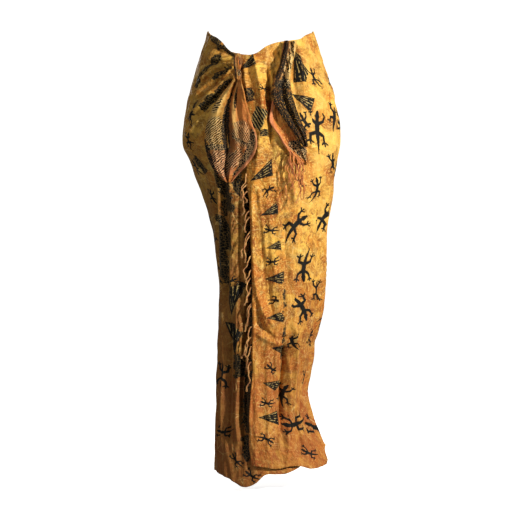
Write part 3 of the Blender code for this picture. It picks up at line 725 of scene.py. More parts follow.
def repeated(values, axis, last):
    """Repeat a grid's edge values over the rows or columns that a roll adds."""
    count = len(ROLL_ANGLES)
    widths = [(0, 0), (0, 0)]
    widths[axis] = (0, count) if last else (count, 0)
    return np.pad(values, widths, mode="edge")


def mesh_object(name, points, faces, maps, finish):
    """A smooth object from points in millimetres, with its UV maps by name."""
    mesh = bpy.data.meshes.new(name)
    mesh.from_pydata((points.reshape(-1, 3) * MM).tolist(), [], faces.tolist())
    for map_name, corners in maps.items():
        layer = mesh.uv_layers.new(name=map_name)
        layer.uv.foreach_set("vector", corners.astype(np.float32).ravel())
    mesh.materials.append(finish)
    mesh.shade_smooth()
    made = bpy.data.objects.new(name, mesh)
    bpy.context.scene.collection.objects.link(made)
    return made


def wound_cloth(finish):
    """The whole wound length as one thin shell with rolled edges."""
    fraction = np.linspace(0.0, 1.0, WRAP_ROWS)[:, None]
    end = free_edge_turn(-FREE_EDGE_SPAN * fraction)
    turn = INNER_END + (end - INNER_END) * wrap_places()[None, :]
    top = edge("top", turn)
    z = top + (edge("hem", turn) - top) * fraction
    points = wound_point(turn, z, crumple(turn, z))
    for axis, last in ((0, False), (0, True), (1, True)):
        angle = np.radians(turn)
        inward = np.stack([np.sin(angle), np.cos(angle), np.zeros(turn.shape)], axis=-1)
        points = rolled(points, axis, last, inward)
        turn, z = repeated(turn, axis, last), repeated(z, axis, last)
    faces = grid_faces(*turn.shape)
    place, kind = motif_maps(turn, z, faces)
    cloth = np.stack([np.radians(turn) * EVEN_RADIUS, z * MM], axis=-1).reshape(-1, 2)[faces]
    maps = {"cloth": cloth, "place": place, "kind": kind}
    return mesh_object("wound_cloth", points, faces, maps, finish)


# Where the front view looks from, and the depth that it reads where there is no cloth
VIEW_FROM = -500.0
NO_CLOTH = -80.0


class FrontView:
    """Reads how far forward some objects reach, looking from the front."""

    def __init__(self, objects):
        self.trees = []
        for made in objects:
            corners = [v.co.copy() for v in made.data.vertices]
            sides = [tuple(p.vertices) for p in made.data.polygons]
            self.trees.append(BVHTree.FromPolygons(corners, sides))

    def front(self, x, z):
        """Depth of the foremost cloth at one place."""
        found = []
        for tree in self.trees:
            start = Vector((x, VIEW_FROM, z)) * MM
            hit = tree.ray_cast(start, Vector((0, 1, 0)))[0]
            if hit is not None:
                found.append(hit.y / MM)
        return min(found) if found else NO_CLOTH

    def around(self, x, z, reach):
        """Depth of the foremost cloth within reach of a place."""
        spots = [(x + i * reach, z + j * reach) for i in (-1, 0, 1) for j in (-1, 0, 1)]
        return min(self.front(*spot) for spot in spots)


def wave_rise(waves, place, fraction):
    """How far its waves raise a tail, at a place across it and a share down it."""
    total = np.zeros(np.broadcast(place, fraction).shape)
    for row in waves:
        wave = dict(zip(WAVE_COLUMNS, row))
        growth = (wave["rise_end"] - wave["rise_top"]) * smooth_step(fraction, 0.0, WAVE_FULL)
        away = (place - wave["place"]) / wave["half_width"]
        total += (wave["rise_top"] + growth) * np.exp(-(away**2))
    return total


def finer(coarse, rows, columns):
    """Read a coarse grid of depths as a finer, smooth one."""
    down = np.linspace(0, coarse.shape[0] - 1, rows)
    across = np.linspace(0, coarse.shape[1] - 1, columns)
    first = np.array([smooth_read(np.arange(coarse.shape[0]), line, down) for line in coarse.T]).T
    return np.array([smooth_read(np.arange(coarse.shape[1]), line, across) for line in first])


TAIL_GRID = (96, 64)
TAIL_COARSE = (24, 14)
TAIL_REACH = 7.0
TAIL_GAP = 1.0
TAIL_CREASES = 1.25
# A tail's fine creases: how fast each one's wave turns across and down the tail, where it starts, and
# its share of the rise. The first is a soft wave and the others are sharp.
SOFT_CREASE = (9, 5)
SHARP_CREASES = ((13, -7, 1, 1.0), (7, 19, 2, 0.7))


def tail_surface(table, waves, view):
    """A tail's points, and each one's place across it and share down it."""
    heights = column(table, TAIL_COLUMNS, "height")

    def spread(rows, columns):
        fraction = np.linspace(0.0, 1.0, rows)[:, None]
        place = np.linspace(-1.0, 1.0, columns)[None, :]
        z = heights[0] + (heights[-1] - heights[0]) * fraction + 0 * place
        left = smooth_read(heights, column(table, TAIL_COLUMNS, "left"), z)
        right = smooth_read(heights, column(table, TAIL_COLUMNS, "right"), z)
        return left + (right - left) * (place + 1) / 2, z, fraction + 0 * place, place + 0 * fraction

    x, z, _, _ = spread(*TAIL_COARSE)
    behind = np.array([[view.around(*spot, TAIL_REACH) for spot in zip(*line)] for line in zip(x, z)])
    for _ in range(2):
        edges = np.pad(behind, 1, mode="edge")
        near = (edges[:-2, 1:-1] + edges[2:, 1:-1] + edges[1:-1, :-2] + edges[1:-1, 2:]) / 4
        behind = np.minimum(behind, (behind + near) / 2)
    x, z, fraction, place = spread(*TAIL_GRID)
    lift = smooth_read(heights, column(table, TAIL_COLUMNS, "lift"), z)
    creases = np.sin(place * SOFT_CREASE[0] + fraction * SOFT_CREASE[1])
    for across, down, start, part in SHARP_CREASES:
        creases = creases - part * np.abs(np.sin(place * across + fraction * down + start))
    rise = lift + wave_rise(waves, place, fraction) + TAIL_CREASES * creases
    y = finer(behind, *TAIL_GRID) - TAIL_GAP - rise
    return np.stack([x, y, z], axis=-1), place, fraction


def tail(name, node, table, waves, view, finish):
    """A hanging corner of the cloth, with rolled edges on its two sides and its end."""
    points, place, fraction = tail_surface(table, waves, view)
    for axis, last in ((0, True), (1, False), (1, True)):
        inward = np.zeros(points.shape) + np.array([0.0, 1.0, 0.0])
        points = rolled(points, axis, last, inward)
        place, fraction = repeated(place, axis, last), repeated(fraction, axis, last)
    faces = grid_faces(*place.shape)
    cloth = (points[..., (0, 2)] * MM).reshape(-1, 2)[faces]
    shares = np.stack([place, fraction], axis=-1).reshape(-1, 2)[faces]
    made = mesh_object(name, points, faces, {"cloth": cloth, "share": shares}, finish)
    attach(made, "root")
    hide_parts(node)
    return made


def linear(hex_colour):
    """An sRGB hex colour as linear red, green, blue and alpha."""
    parts = [int(hex_colour[i : i + 2], 16) / 255 for i in (1, 3, 5)]
    return (*[c / 12.92 if c <= 0.04045 else ((c + 0.055) / 1.055) ** 2.4 for c in parts], 1.0)


def shown(sockets, name):
    """A socket by its name or number among those that the node shows."""
    if isinstance(name, int):
        return sockets[name]
    return next(s for s in sockets if s.enabled and s.name == name)


def feed(tree, node, inputs):
    """Give a node its inputs, as values, as sockets or as nodes."""
    for key, value in inputs.items():
        socket = shown(node.inputs, key)
        if isinstance(value, bpy.types.Node):
            value = next(s for s in value.outputs if s.enabled)
        if isinstance(value, bpy.types.NodeSocket):
            tree.links.new(value, socket)
        else:
            socket.default_value = value


def put(tree, kind, inputs=None, **settings):
    """Add a node with its settings and its inputs."""
    node = tree.nodes.new(kind)
    for key, value in settings.items():
        setattr(node, key, value)
    feed(tree, node, inputs or {})
    return node


def scale_for(size):
    """The scale at which a pattern's features are this many millimetres across."""
    return 1 / (size * MM)


def new_group(name, inputs, outputs):
    """An empty node group with its sockets, and its input node."""
    group = bpy.data.node_groups.new(name, "ShaderNodeTree")
    for direction, sockets in (("INPUT", inputs), ("OUTPUT", outputs)):
        for label, kind in sockets:
            group.interface.new_socket(label, in_out=direction, socket_type="NodeSocket" + kind)
    return group, put(group, "NodeGroupInput").outputs


def limb_group():
    """How far a place lies outside a limb that tapers from its start to its end."""
    inputs = (
        ("Place", "Vector"), ("Start", "Vector"), ("End", "Vector"),
        ("Start radius", "Float"), ("End radius", "Float"),
    )
    group, given = new_group("tapered_limb", inputs, (("Distance", "Float"),))
    to = put(group, "ShaderNodeVectorMath", {0: given[0], 1: given[1]}, operation="SUBTRACT")
    run = put(group, "ShaderNodeVectorMath", {0: given[2], 1: given[1]}, operation="SUBTRACT")
    reach = put(group, "ShaderNodeVectorMath", {0: to, 1: run}, operation="DOT_PRODUCT")
    size = put(group, "ShaderNodeVectorMath", {0: run, 1: run}, operation="DOT_PRODUCT")
    share = put(group, "ShaderNodeMath", {0: reach, 1: size}, operation="DIVIDE", use_clamp=True)
    along = put(group, "ShaderNodeVectorMath", {0: run, "Scale": share}, operation="SCALE")
    off = put(group, "ShaderNodeVectorMath", {0: to, 1: along}, operation="SUBTRACT")
    away = put(group, "ShaderNodeVectorMath", {0: off}, operation="LENGTH")
    radius = put(group, "ShaderNodeMapRange", {"Value": share, "To Min": given[3], "To Max": given[4]})
    out = put(group, "ShaderNodeMath", {0: away, 1: radius}, operation="SUBTRACT")
    put(group, "NodeGroupOutput", {0: out})
    return group


# How far a gecko's spine bends, and how far its left and right legs are apart in their strides
SPINE_BEND = -0.75
STRIDE = 0.45


def gecko_group():
    """Ink of one gecko, whose spine bends and whose left and right legs are at different strides."""
    inputs = (("Place", "Vector"), ("Lean", "Float"))
    group, given = new_group("gecko", inputs, (("Distance", "Float"),))
    limb = limb_group()
    place = put(group, "ShaderNodeSeparateXYZ", {0: given[0]})
    across, up = place.outputs[:2]
    square = put(group, "ShaderNodeMath", {0: up, 1: up}, operation="MULTIPLY")
    bend = put(group, "ShaderNodeMath", {0: square, 1: given[1]}, operation="MULTIPLY")
    side = put(group, "ShaderNodeMath", {0: bend, 1: SPINE_BEND, 2: across}, operation="MULTIPLY_ADD")
    stride = put(group, "ShaderNodeMath", {0: side, 1: given[1]}, operation="MULTIPLY")
    height = put(group, "ShaderNodeMath", {0: stride, 1: STRIDE, 2: up}, operation="MULTIPLY_ADD")
    folded = put(group, "ShaderNodeMath", {0: side}, operation="ABSOLUTE")
    half = put(group, "ShaderNodeCombineXYZ", {0: folded, 1: height})
    nearest = 1.0
    for row in GECKO_LIMBS:
        part = dict(zip(LIMB_COLUMNS, row))
        here = put(group, "ShaderNodeGroup", {
            "Place": half,
            "Start": (part["x0"], part["y0"], 0.0),
            "End": (part["x1"], part["y1"], 0.0),
            "Start radius": part["start_radius"],
            "End radius": part["end_radius"],
        }, node_tree=limb)
        nearest = put(group, "ShaderNodeMath", {0: nearest, 1: here}, operation="MINIMUM")
    put(group, "NodeGroupOutput", {0: nearest})
    return group


# Dyes over the base gold: each one's patches, in millimetres across, and how far it covers them
BASE_GOLD = "#C98A34"
DYE_COLUMNS = ("colour", "patch", "low", "high", "share")
DYES = (
    ("#BE6D26", 85, 0.44, 0.58, 0.85),
    ("#E9B850", 60, 0.48, 0.60, 0.95),
    ("#96501F", 75, 0.52, 0.64, 0.80),
    ("#5B3815", 42, 0.56, 0.67, 0.70),
    ("#F4D67E", 20, 0.55, 0.67, 0.70),
    ("#7A3F18", 9, 0.48, 0.62, 0.72),
    ("#F2CB6C", 4, 0.52, 0.62, 0.75),
    ("#5E3013", 3, 0.57, 0.67, 0.60),
)
# Where the ground turns to another colour, and how far: each limit is read along the cloth from the
# front's middle, up it, or in its cloudy drift, from where there is none of the colour to where it is full
TINT_COLUMNS = ("colour", "share", "limits")
TINTS = (
    # Olive dye over the left hip, darker also as painted shade of the side turned from the key light
    ("#7D6428", 0.45, (("along", 30, 130), ("along", 420, 300))),
    # Clouds of yellow dye on the right hip, also painted light where the key light falls on that side
    ("#F1C563", 0.60, (
        ("along", 840, 760), ("up", -560, -360), ("along", 460, 620), ("drift", 0.42, 0.58),
    )),
    # Copper towards the hem
    ("#9C5228", 0.55, (("up", -450, -800),)),
    # Brown down the left column beside the slit: painted shade of the side turned from the key light
    ("#5F3A1B", 0.50, (("along", 20, 60), ("along", 260, 180), ("up", -240, -360))),
)
# Pale crackle lines, where the wax of the dyer cracked, and how far the dyes wander
PALE_LINE = "#F2D58C"
CRACKLE_CELL = 22.73
DRIFT_SIZE = 45.45
DYE_WANDER = (0.04, 0.05, 0.0)


def dyed_rayon(tree, cloth):
    """Dyed ground: gold with soft patches of orange, yellow, rust and brown and a few crackle lines.

    It is olive over the left hip, a dye darkened also as painted shade, brown beside the slit as painted
    shade, yellow on the right hip, a dye that also paints the light falling there, and copper towards the
    hem, as cloth is that was dipped in several baths.
    """
    drift = put(tree, "ShaderNodeTexNoise", {
        "Vector": cloth, "Scale": scale_for(DRIFT_SIZE), "Detail": 3.0,
    })
    centred = put(tree, "ShaderNodeVectorMath", {
        0: drift.outputs["Color"], 1: (0.5, 0.5, 0.5),
    }, operation="SUBTRACT")
    moved = put(tree, "ShaderNodeVectorMath", {
        0: centred, 1: DYE_WANDER, 2: cloth,
    }, operation="MULTIPLY_ADD")
    colour = linear(BASE_GOLD)
    for number, row in enumerate(DYES):
        dye = dict(zip(DYE_COLUMNS, row))
        noise = put(tree, "ShaderNodeTexNoise", {
            "Vector": moved, "W": float(number), "Scale": scale_for(dye["patch"]), "Detail": 4.0,
            "Roughness": 0.6,
        }, noise_dimensions="4D")
        cover = put(tree, "ShaderNodeMapRange", {
            "Value": noise, "From Min": dye["low"], "From Max": dye["high"], "To Max": dye["share"],
        })
        colour = put(tree, "ShaderNodeMix", {
            "Factor": cover, "A": colour, "B": linear(dye["colour"]),
        }, data_type="RGBA")
    at = put(tree, "ShaderNodeSeparateXYZ", {0: cloth})
    readings = {"along": (at.outputs[0], MM), "up": (at.outputs[1], MM), "drift": (drift, 1.0)}
    for row in TINTS:
        tint = dict(zip(TINT_COLUMNS, row))
        share = tint["share"]
        for reading, none, full in tint["limits"]:
            value, unit = readings[reading]
            within = put(tree, "ShaderNodeMapRange", {
                "Value": value, "From Min": none * unit, "From Max": full * unit,
            })
            share = put(tree, "ShaderNodeMath", {0: within, 1: share}, operation="MULTIPLY")
        colour = put(tree, "ShaderNodeMix", {
            "Factor": share, "A": colour, "B": linear(tint["colour"]),
        }, data_type="RGBA")
    cells = put(tree, "ShaderNodeTexVoronoi", {
        "Vector": cloth, "Scale": scale_for(CRACKLE_CELL),
    }, feature="DISTANCE_TO_EDGE")
    line = put(tree, "ShaderNodeMapRange", {
        "Value": cells, "From Min": 0.0, "From Max": 0.03, "To Min": 0.5, "To Max": 0.0,
    })
    where = put(tree, "ShaderNodeMapRange", {"Value": drift, "From Min": 0.50, "From Max": 0.60})
    crackle = put(tree, "ShaderNodeMath", {0: line, 1: where}, operation="MULTIPLY")
    return put(tree, "ShaderNodeMix", {
        "Factor": crackle, "A": colour, "B": linear(PALE_LINE),
    }, data_type="RGBA")


# The crushed surface, which is longer down the cloth than across it, and the weave's rows
CRUSH_SIZE = 13.333
CRUSH_STRETCH = (1.0, 0.32, 1.0)
WEAVE_PITCH = 2.992
# A band texture turns 20 radians for each unit at a scale of 1
BAND_TURNS = 20.0 / (2 * math.pi)


def finish_cloth(tree, shader, colour, cloth):
    """The weave, the crushed surface and the soft sheen that rayon has whatever its colour.

    Rayon yarns lie about 0.3 mm apart, which is too fine to show, so the weave's rows are drawn at 3 mm.
    """
    stretched = put(tree, "ShaderNodeVectorMath", {0: cloth, 1: CRUSH_STRETCH}, operation="MULTIPLY")
    crush = put(tree, "ShaderNodeTexNoise", {
        "Vector": stretched, "Scale": scale_for(CRUSH_SIZE), "Detail": 4.0, "Roughness": 0.6,
    })
    weave = put(tree, "ShaderNodeTexWave", {
        "Vector": cloth, "Scale": scale_for(WEAVE_PITCH) / BAND_TURNS, "Distortion": 1.5,
    }, bands_direction="Y")
    both = put(tree, "ShaderNodeMath", {0: weave, 1: 0.06, 2: crush}, operation="MULTIPLY_ADD")
    relief = put(tree, "ShaderNodeBump", {"Height": both, "Strength": 0.85, "Distance": 0.007})
    rough = put(tree, "ShaderNodeMapRange", {"Value": crush, "To Min": 0.5, "To Max": 0.78})
    feed(tree, shader, {
        "Base Color": colour, "Roughness": rough, "Normal": relief, "IOR": 1.47,
        "Specular IOR Level": 0.22, "Sheen Weight": 0.05, "Sheen Roughness": 0.4,
    })


def new_material(name):
    """A material with its nodes and its shader."""
    made = bpy.data.materials.new(name)
    made.use_nodes = True
    tree = made.node_tree
    return made, tree, tree.nodes["Principled BSDF"]


# The print's black, and the cloth's dulled colour where a line in it was left bare
PRINT_BLACK = "#0B0A06"
BARE_LINE = "#B9A468"
# What wears the print, in millimetres: ragged edges, breaks in its lines, blots where it was gathered
RAGGED_SIZE = 3.846
BREAK_SIZE = 8.333
BLOT_SIZE = 23.81
NET_CELL = 5.263
# How far the worn block makes lines waver
WAVER = 5.0
# A point's spread from its middle line at its base, and its lines: radians from that line to its side
POINT_SPREAD = 0.36
POINT_LINES = 15.0
# Stripes: how far they slant, and their radians in one length of the block
STRIPE_SLANT = 0.7
STRIPE_LINES = 40.0


def point_print(tree, across, lean, ragged, waver, breaks):
    """A point that opens from its tip at -0.5 to its base at 0.5: its ink and its fine broken lines."""
    from_tip = put(tree, "ShaderNodeMath", {0: across.outputs[0], 1: 0.5}, operation="ADD")
    tilt = put(tree, "ShaderNodeMath", {0: from_tip, 1: lean}, operation="MULTIPLY")
    level = put(tree, "ShaderNodeMath", {0: tilt, 1: -0.5, 2: across.outputs[1]}, operation="MULTIPLY_ADD")
    spread = put(tree, "ShaderNodeMath", {0: from_tip, 1: POINT_SPREAD}, operation="MULTIPLY")
    away = put(tree, "ShaderNodeMath", {0: level}, operation="ABSOLUTE")
    outside = put(tree, "ShaderNodeMath", {0: away, 1: spread}, operation="SUBTRACT")
    beyond = put(tree, "ShaderNodeMath", {0: from_tip, 1: 1.0}, operation="SUBTRACT")
    distance = put(tree, "ShaderNodeMath", {0: outside, 1: beyond}, operation="MAXIMUM")
    edge_line = put(tree, "ShaderNodeMath", {0: ragged, 1: 0.05, 2: distance}, operation="MULTIPLY_ADD")
    ink = put(tree, "ShaderNodeMapRange", {"Value": edge_line, "From Min": 0.034, "From Max": 0.014})
    fan = put(tree, "ShaderNodeMath", {0: level, 1: spread}, operation="DIVIDE")
    turns = put(tree, "ShaderNodeMath", {0: fan, 1: POINT_LINES, 2: waver}, operation="MULTIPLY_ADD")
    wave = put(tree, "ShaderNodeMath", {0: turns}, operation="SINE")
    line = put(tree, "ShaderNodeMapRange", {"Value": wave, "From Min": 0.55, "From Max": 0.85})
    whole = put(tree, "ShaderNodeMapRange", {"Value": breaks, "From Min": 0.44, "From Max": 0.54})
    broken = put(tree, "ShaderNodeMath", {0: line, 1: whole}, operation="MULTIPLY")
    well_in = put(tree, "ShaderNodeMapRange", {"Value": distance, "From Min": -0.02, "From Max": -0.05})
    return ink, put(tree, "ShaderNodeMath", {0: broken, 1: well_in}, operation="MULTIPLY")


def block_print(tree, across, lean, cloth, waver):
    """An upright block, as wide to each side as its lean says: its blotted ink, its stripes, its net."""
    wide = put(tree, "ShaderNodeMath", {0: across.outputs[0]}, operation="ABSOLUTE")
    tall = put(tree, "ShaderNodeMath", {0: across.outputs[1]}, operation="ABSOLUTE")
    past_side = put(tree, "ShaderNodeMath", {0: wide, 1: lean}, operation="SUBTRACT")
    past_end = put(tree, "ShaderNodeMath", {0: tall, 1: 0.5}, operation="SUBTRACT")
    distance = put(tree, "ShaderNodeMath", {0: past_side, 1: past_end}, operation="MAXIMUM")
    blot = put(tree, "ShaderNodeTexNoise", {
        "Vector": cloth, "Scale": scale_for(BLOT_SIZE), "Detail": 5.0, "Roughness": 0.65,
    })
    blotted = put(tree, "ShaderNodeMath", {0: blot, 1: 0.6, 2: distance}, operation="MULTIPLY_ADD")
    ink = put(tree, "ShaderNodeMapRange", {"Value": blotted, "From Min": 0.325, "From Max": 0.295})
    slant = put(tree, "ShaderNodeMath", {
        0: across.outputs[0], 1: STRIPE_SLANT, 2: across.outputs[1],
    }, operation="MULTIPLY_ADD")
    turns = put(tree, "ShaderNodeMath", {0: slant, 1: STRIPE_LINES, 2: waver}, operation="MULTIPLY_ADD")
    wave = put(tree, "ShaderNodeMath", {0: turns}, operation="SINE")
    stripe = put(tree, "ShaderNodeMapRange", {"Value": wave, "From Min": 0.4, "From Max": 0.75})
    meshes = put(tree, "ShaderNodeTexVoronoi", {
        "Vector": cloth, "Scale": scale_for(NET_CELL),
    }, feature="DISTANCE_TO_EDGE")
    net = put(tree, "ShaderNodeMapRange", {
        "Value": meshes, "From Min": 0.07, "From Max": 0.03, "To Max": 0.45,
    })
    return ink, stripe, net


def printed_rayon():
    """Plain-woven rayon, tie-dyed and block-printed in black: a soft, crushed, slightly shiny cloth."""
    made, tree, shader = new_material("tie_dyed_printed_rayon")
    cloth = put(tree, "ShaderNodeUVMap", uv_map="cloth")
    place = put(tree, "ShaderNodeUVMap", uv_map="place")
    kind = put(tree, "ShaderNodeSeparateXYZ", {0: put(tree, "ShaderNodeUVMap", uv_map="kind")})
    lean = kind.outputs[1]
    across = put(tree, "ShaderNodeSeparateXYZ", {0: place})
    ragged = put(tree, "ShaderNodeTexNoise", {
        "Vector": cloth, "Scale": scale_for(RAGGED_SIZE), "Detail": 2.0,
    })
    breaks = put(tree, "ShaderNodeTexNoise", {
        "Vector": cloth, "Scale": scale_for(BREAK_SIZE), "Detail": 3.0,
    })
    waver = put(tree, "ShaderNodeMath", {0: ragged, 1: WAVER}, operation="MULTIPLY")

    gecko = put(tree, "ShaderNodeGroup", {"Place": place, "Lean": lean}, node_tree=gecko_group())
    gecko_edge = put(tree, "ShaderNodeMath", {0: ragged, 1: 0.03, 2: gecko}, operation="MULTIPLY_ADD")
    gecko_ink = put(tree, "ShaderNodeMapRange", {"Value": gecko_edge, "From Min": 0.022, "From Max": 0.008})
    point_ink, point_line = point_print(tree, across, lean, ragged, waver, breaks)
    block_ink, stripe_line, net_line = block_print(tree, across, lean, cloth, waver)
    marks = {
        "gecko": (gecko_ink, 0.0),
        "point": (point_ink, point_line),
        "stripes": (block_ink, stripe_line),
        "net": (block_ink, net_line),
    }
    ink, line = 0.0, 0.0
    for number, name in enumerate(MOTIF_KINDS, 1):
        shape, inner = marks[name]
        here = put(tree, "ShaderNodeMath", {
            0: kind.outputs[0], 1: float(number), 2: 0.4,
        }, operation="COMPARE")
        ink = put(tree, "ShaderNodeMath", {0: shape, 1: here, 2: ink}, operation="MULTIPLY_ADD")
        line = put(tree, "ShaderNodeMath", {0: inner, 1: here, 2: line}, operation="MULTIPLY_ADD")
    left_bare = put(tree, "ShaderNodeMath", {0: 1.0, 1: line}, operation="SUBTRACT")
    solid = put(tree, "ShaderNodeMath", {0: ink, 1: left_bare}, operation="MULTIPLY")
    pale = put(tree, "ShaderNodeMath", {0: ink, 1: line}, operation="MULTIPLY")

    ground = dyed_rayon(tree, cloth)
    lined = put(tree, "ShaderNodeMix", {
        "Factor": pale, "A": ground, "B": linear(BARE_LINE),
    }, data_type="RGBA")
    black = put(tree, "ShaderNodeMix", {
        "Factor": solid, "A": lined, "B": linear(PRINT_BLACK),
    }, data_type="RGBA")
    finish_cloth(tree, shader, black, cloth)
    return made


# Print and dye of the hanging corners, as patches in each one's own shares: from -1 to 1 across it and
# from 0 at its top to 1 at its end, each patch turned to the left by some degrees. Some of the ink also
# paints shade.
PATCH_COLUMNS = ("kind", "across", "down", "half_across", "half_down", "turned")
LEFT_TAIL_PATCHES = (
    ("olive", -0.45, 0.50, 0.60, 0.26, 0),
    ("orange", 0.50, 0.42, 0.55, 0.44, 0),
    ("gold", -0.74, 0.24, 0.24, 0.20, 0),
    ("rose", -0.35, 0.82, 0.70, 0.15, 0),
    ("gold", 0.24, 0.30, 0.10, 0.24, 0),
    ("rose", 1.0, 0.74, 0.16, 0.30, 30),
    # Ink down the middle valley, which also paints the valley's shade
    ("solid", -0.16, 0.42, 0.16, 0.34, 6),
    ("rungs", -0.80, 0.25, 0.20, 0.07, 0),
    ("hatch", -0.62, 0.50, 0.40, 0.15, 0),
    ("net", -0.50, 0.66, 0.50, 0.035, 0),
    ("hatch", -0.40, 0.82, 0.60, 0.12, 0),
    ("hatch", 0.30, 0.78, 0.28, 0.10, 0),
    ("fine", 0.50, 0.54, 0.42, 0.14, 0),
    ("brown", 0.02, 0.62, 0.20, 0.40, 0),
    ("solid", 0.30, 0.18, 0.10, 0.12, -8),
    ("net", 0.74, 0.73, 0.13, 0.30, 44),
    ("net", 0.35, 0.60, 0.30, 0.02, 8),
    # Ink at the lower left edge, which also paints the shadow there
    ("solid", -0.95, 0.78, 0.14, 0.20, -14),
)
RIGHT_TAIL_PATCHES = (
    ("gold", 0.70, 0.18, 0.40, 0.24, 0),
    ("brown", -0.60, 0.16, 0.60, 0.34, 0),
    ("solid", -0.55, 0.20, 0.40, 0.26, 0),
    ("strips", 0.35, 0.20, 0.60, 0.20, 0),
    ("net", 0.25, 0.42, 0.80, 0.05, 0),
    ("solid", 0.0, 0.73, 1.40, 0.33, 0),
)
FOLDED_HALF_PATCHES = (
    ("rose", -1.0, 0.50, 0.22, 0.60, 0),
    ("brown", 0.70, 0.40, 0.40, 0.50, 0),
    ("net", 0.20, 0.84, 0.80, 0.13, 0),
)
KNOT_PATCHES = (
    ("brown", -0.70, 0.50, 0.50, 0.70, 0),
    ("orange", 0.45, 0.45, 0.26, 0.60, 0),
    ("brown", 0.95, 0.60, 0.20, 0.60, 0),
    ("solid", -0.70, 0.62, 0.26, 0.50, 0),
    ("solid", 0.62, 0.20, 0.20, 0.24, 0),
    ("net", 0.40, 0.76, 0.40, 0.12, 0),
)
PATCH_DYES = {
    "olive": "#8A6A2A", "orange": "#C47038", "gold": "#E3BD6E", "brown": "#54301A", "rose": "#CF8462",
}
# Inked lines: degrees turned from level, and millimetres from line to line
PATCH_LINES = {
    "hatch": {"turned": 38, "pitch": 4.4},
    "rungs": {"turned": 4, "pitch": 5.5},
    "strips": {"turned": 97, "pitch": 9.0},
    "fine": {"turned": 66, "pitch": 3.6},
}
TAIL_BLACK = "#0F0C07"
TAIL_CREAM = "#DCC795"
# How far a tail's ground is dulled by its own base colour
TAIL_BASE_SHARE = 0.42
TAIL_RAGGED_SIZE = 11.111
TAIL_SPECK_SIZE = 2.381
TAIL_NET_CELL = 4.762
TAIL_WAVER = 16.0
YARN_STREAK = 11.111


def inked_lines(tree, cloth, ragged, turned, pitch):
    """Black and cream shares of wavering lines, as a worn wooden block prints them."""
    angle = math.radians(turned)
    up = (-math.sin(angle), math.cos(angle), 0.0)
    level = put(tree, "ShaderNodeVectorMath", {0: cloth, 1: up}, operation="DOT_PRODUCT")
    waver = put(tree, "ShaderNodeMath", {0: ragged, 1: TAIL_WAVER}, operation="MULTIPLY")
    turns = put(tree, "ShaderNodeMath", {
        0: level, 1: 2 * math.pi / (pitch * MM), 2: waver,
    }, operation="MULTIPLY_ADD")
    wave = put(tree, "ShaderNodeMath", {0: turns}, operation="SINE")
    black = put(tree, "ShaderNodeMapRange", {"Value": wave, "From Min": 0.0, "From Max": 0.4})
    pale = put(tree, "ShaderNodeMapRange", {
        "Value": wave, "From Min": -0.5, "From Max": -0.9, "To Max": 0.6,
    })
    return black, pale


def tail_inks(tree, cloth, ragged):
    """Black and cream shares of each kind of inked patch."""
    specks = put(tree, "ShaderNodeTexNoise", {
        "Vector": cloth, "Scale": scale_for(TAIL_SPECK_SIZE), "Detail": 2.0,
    })
    meshes = put(tree, "ShaderNodeTexVoronoi", {
        "Vector": cloth, "Scale": scale_for(TAIL_NET_CELL),
    }, feature="DISTANCE_TO_EDGE")
    inks = {kind: inked_lines(tree, cloth, ragged, **lines) for kind, lines in PATCH_LINES.items()}
    speckled = put(tree, "ShaderNodeMapRange", {"Value": specks, "From Min": 0.34, "From Max": 0.44})
    inks["solid"] = (speckled, 0.0)
    cells = put(tree, "ShaderNodeMapRange", {"Value": meshes, "From Min": 0.04, "From Max": 0.10})
    threads = put(tree, "ShaderNodeMapRange", {
        "Value": meshes, "From Min": 0.08, "From Max": 0.02, "To Max": 0.7,
    })
    inks["net"] = (cells, threads)
    return inks


def tail_rayon(name, base, patches):
    """The same rayon near the cloth's ends: darker dyes, and black and cream hatching in patches."""
    made, tree, shader = new_material(name)
    cloth = put(tree, "ShaderNodeUVMap", uv_map="cloth")
    share = put(tree, "ShaderNodeUVMap", uv_map="share")
    ragged = put(tree, "ShaderNodeTexNoise", {
        "Vector": cloth, "Scale": scale_for(TAIL_RAGGED_SIZE), "Detail": 4.0, "Roughness": 0.6,
    })
    inks = tail_inks(tree, cloth, ragged)
    ground = dyed_rayon(tree, cloth)
    colour = put(tree, "ShaderNodeMix", {
        "Factor": TAIL_BASE_SHARE, "A": ground, "B": linear(base),
    }, data_type="RGBA")
    black, pale = 0.0, 0.0
    for row in patches:
        patch = dict(zip(PATCH_COLUMNS, row))
        local = put(tree, "ShaderNodeMapping", {
            "Vector": share,
            "Location": (patch["across"], patch["down"], 0.0),
            "Rotation": (0.0, 0.0, math.radians(patch["turned"])),
            "Scale": (patch["half_across"], patch["half_down"], 1.0),
        }, vector_type="TEXTURE")
        away = put(tree, "ShaderNodeVectorMath", {0: local}, operation="LENGTH")
        worn = put(tree, "ShaderNodeMath", {0: ragged, 1: 1.2, 2: away}, operation="MULTIPLY_ADD")
        if patch["kind"] in PATCH_DYES:
            inside = put(tree, "ShaderNodeMapRange", {
                "Value": worn, "From Min": 2.0, "From Max": 1.30, "To Max": 0.62,
            })
            colour = put(tree, "ShaderNodeMix", {
                "Factor": inside, "A": colour, "B": linear(PATCH_DYES[patch["kind"]]),
            }, data_type="RGBA")
            continue
        inside = put(tree, "ShaderNodeMapRange", {"Value": worn, "From Min": 1.70, "From Max": 1.52})
        dark, light = inks[patch["kind"]]
        here = put(tree, "ShaderNodeMath", {0: inside, 1: dark}, operation="MULTIPLY")
        black = put(tree, "ShaderNodeMath", {0: here, 1: black}, operation="MAXIMUM")
        faint = put(tree, "ShaderNodeMath", {0: inside, 1: light}, operation="MULTIPLY")
        pale = put(tree, "ShaderNodeMath", {0: faint, 1: pale}, operation="MAXIMUM")
    creamy = put(tree, "ShaderNodeMix", {
        "Factor": pale, "A": colour, "B": linear(TAIL_CREAM),
    }, data_type="RGBA")
    inked = put(tree, "ShaderNodeMix", {
        "Factor": black, "A": creamy, "B": linear(TAIL_BLACK),
    }, data_type="RGBA")
    finish_cloth(tree, shader, inked, cloth)
    return made


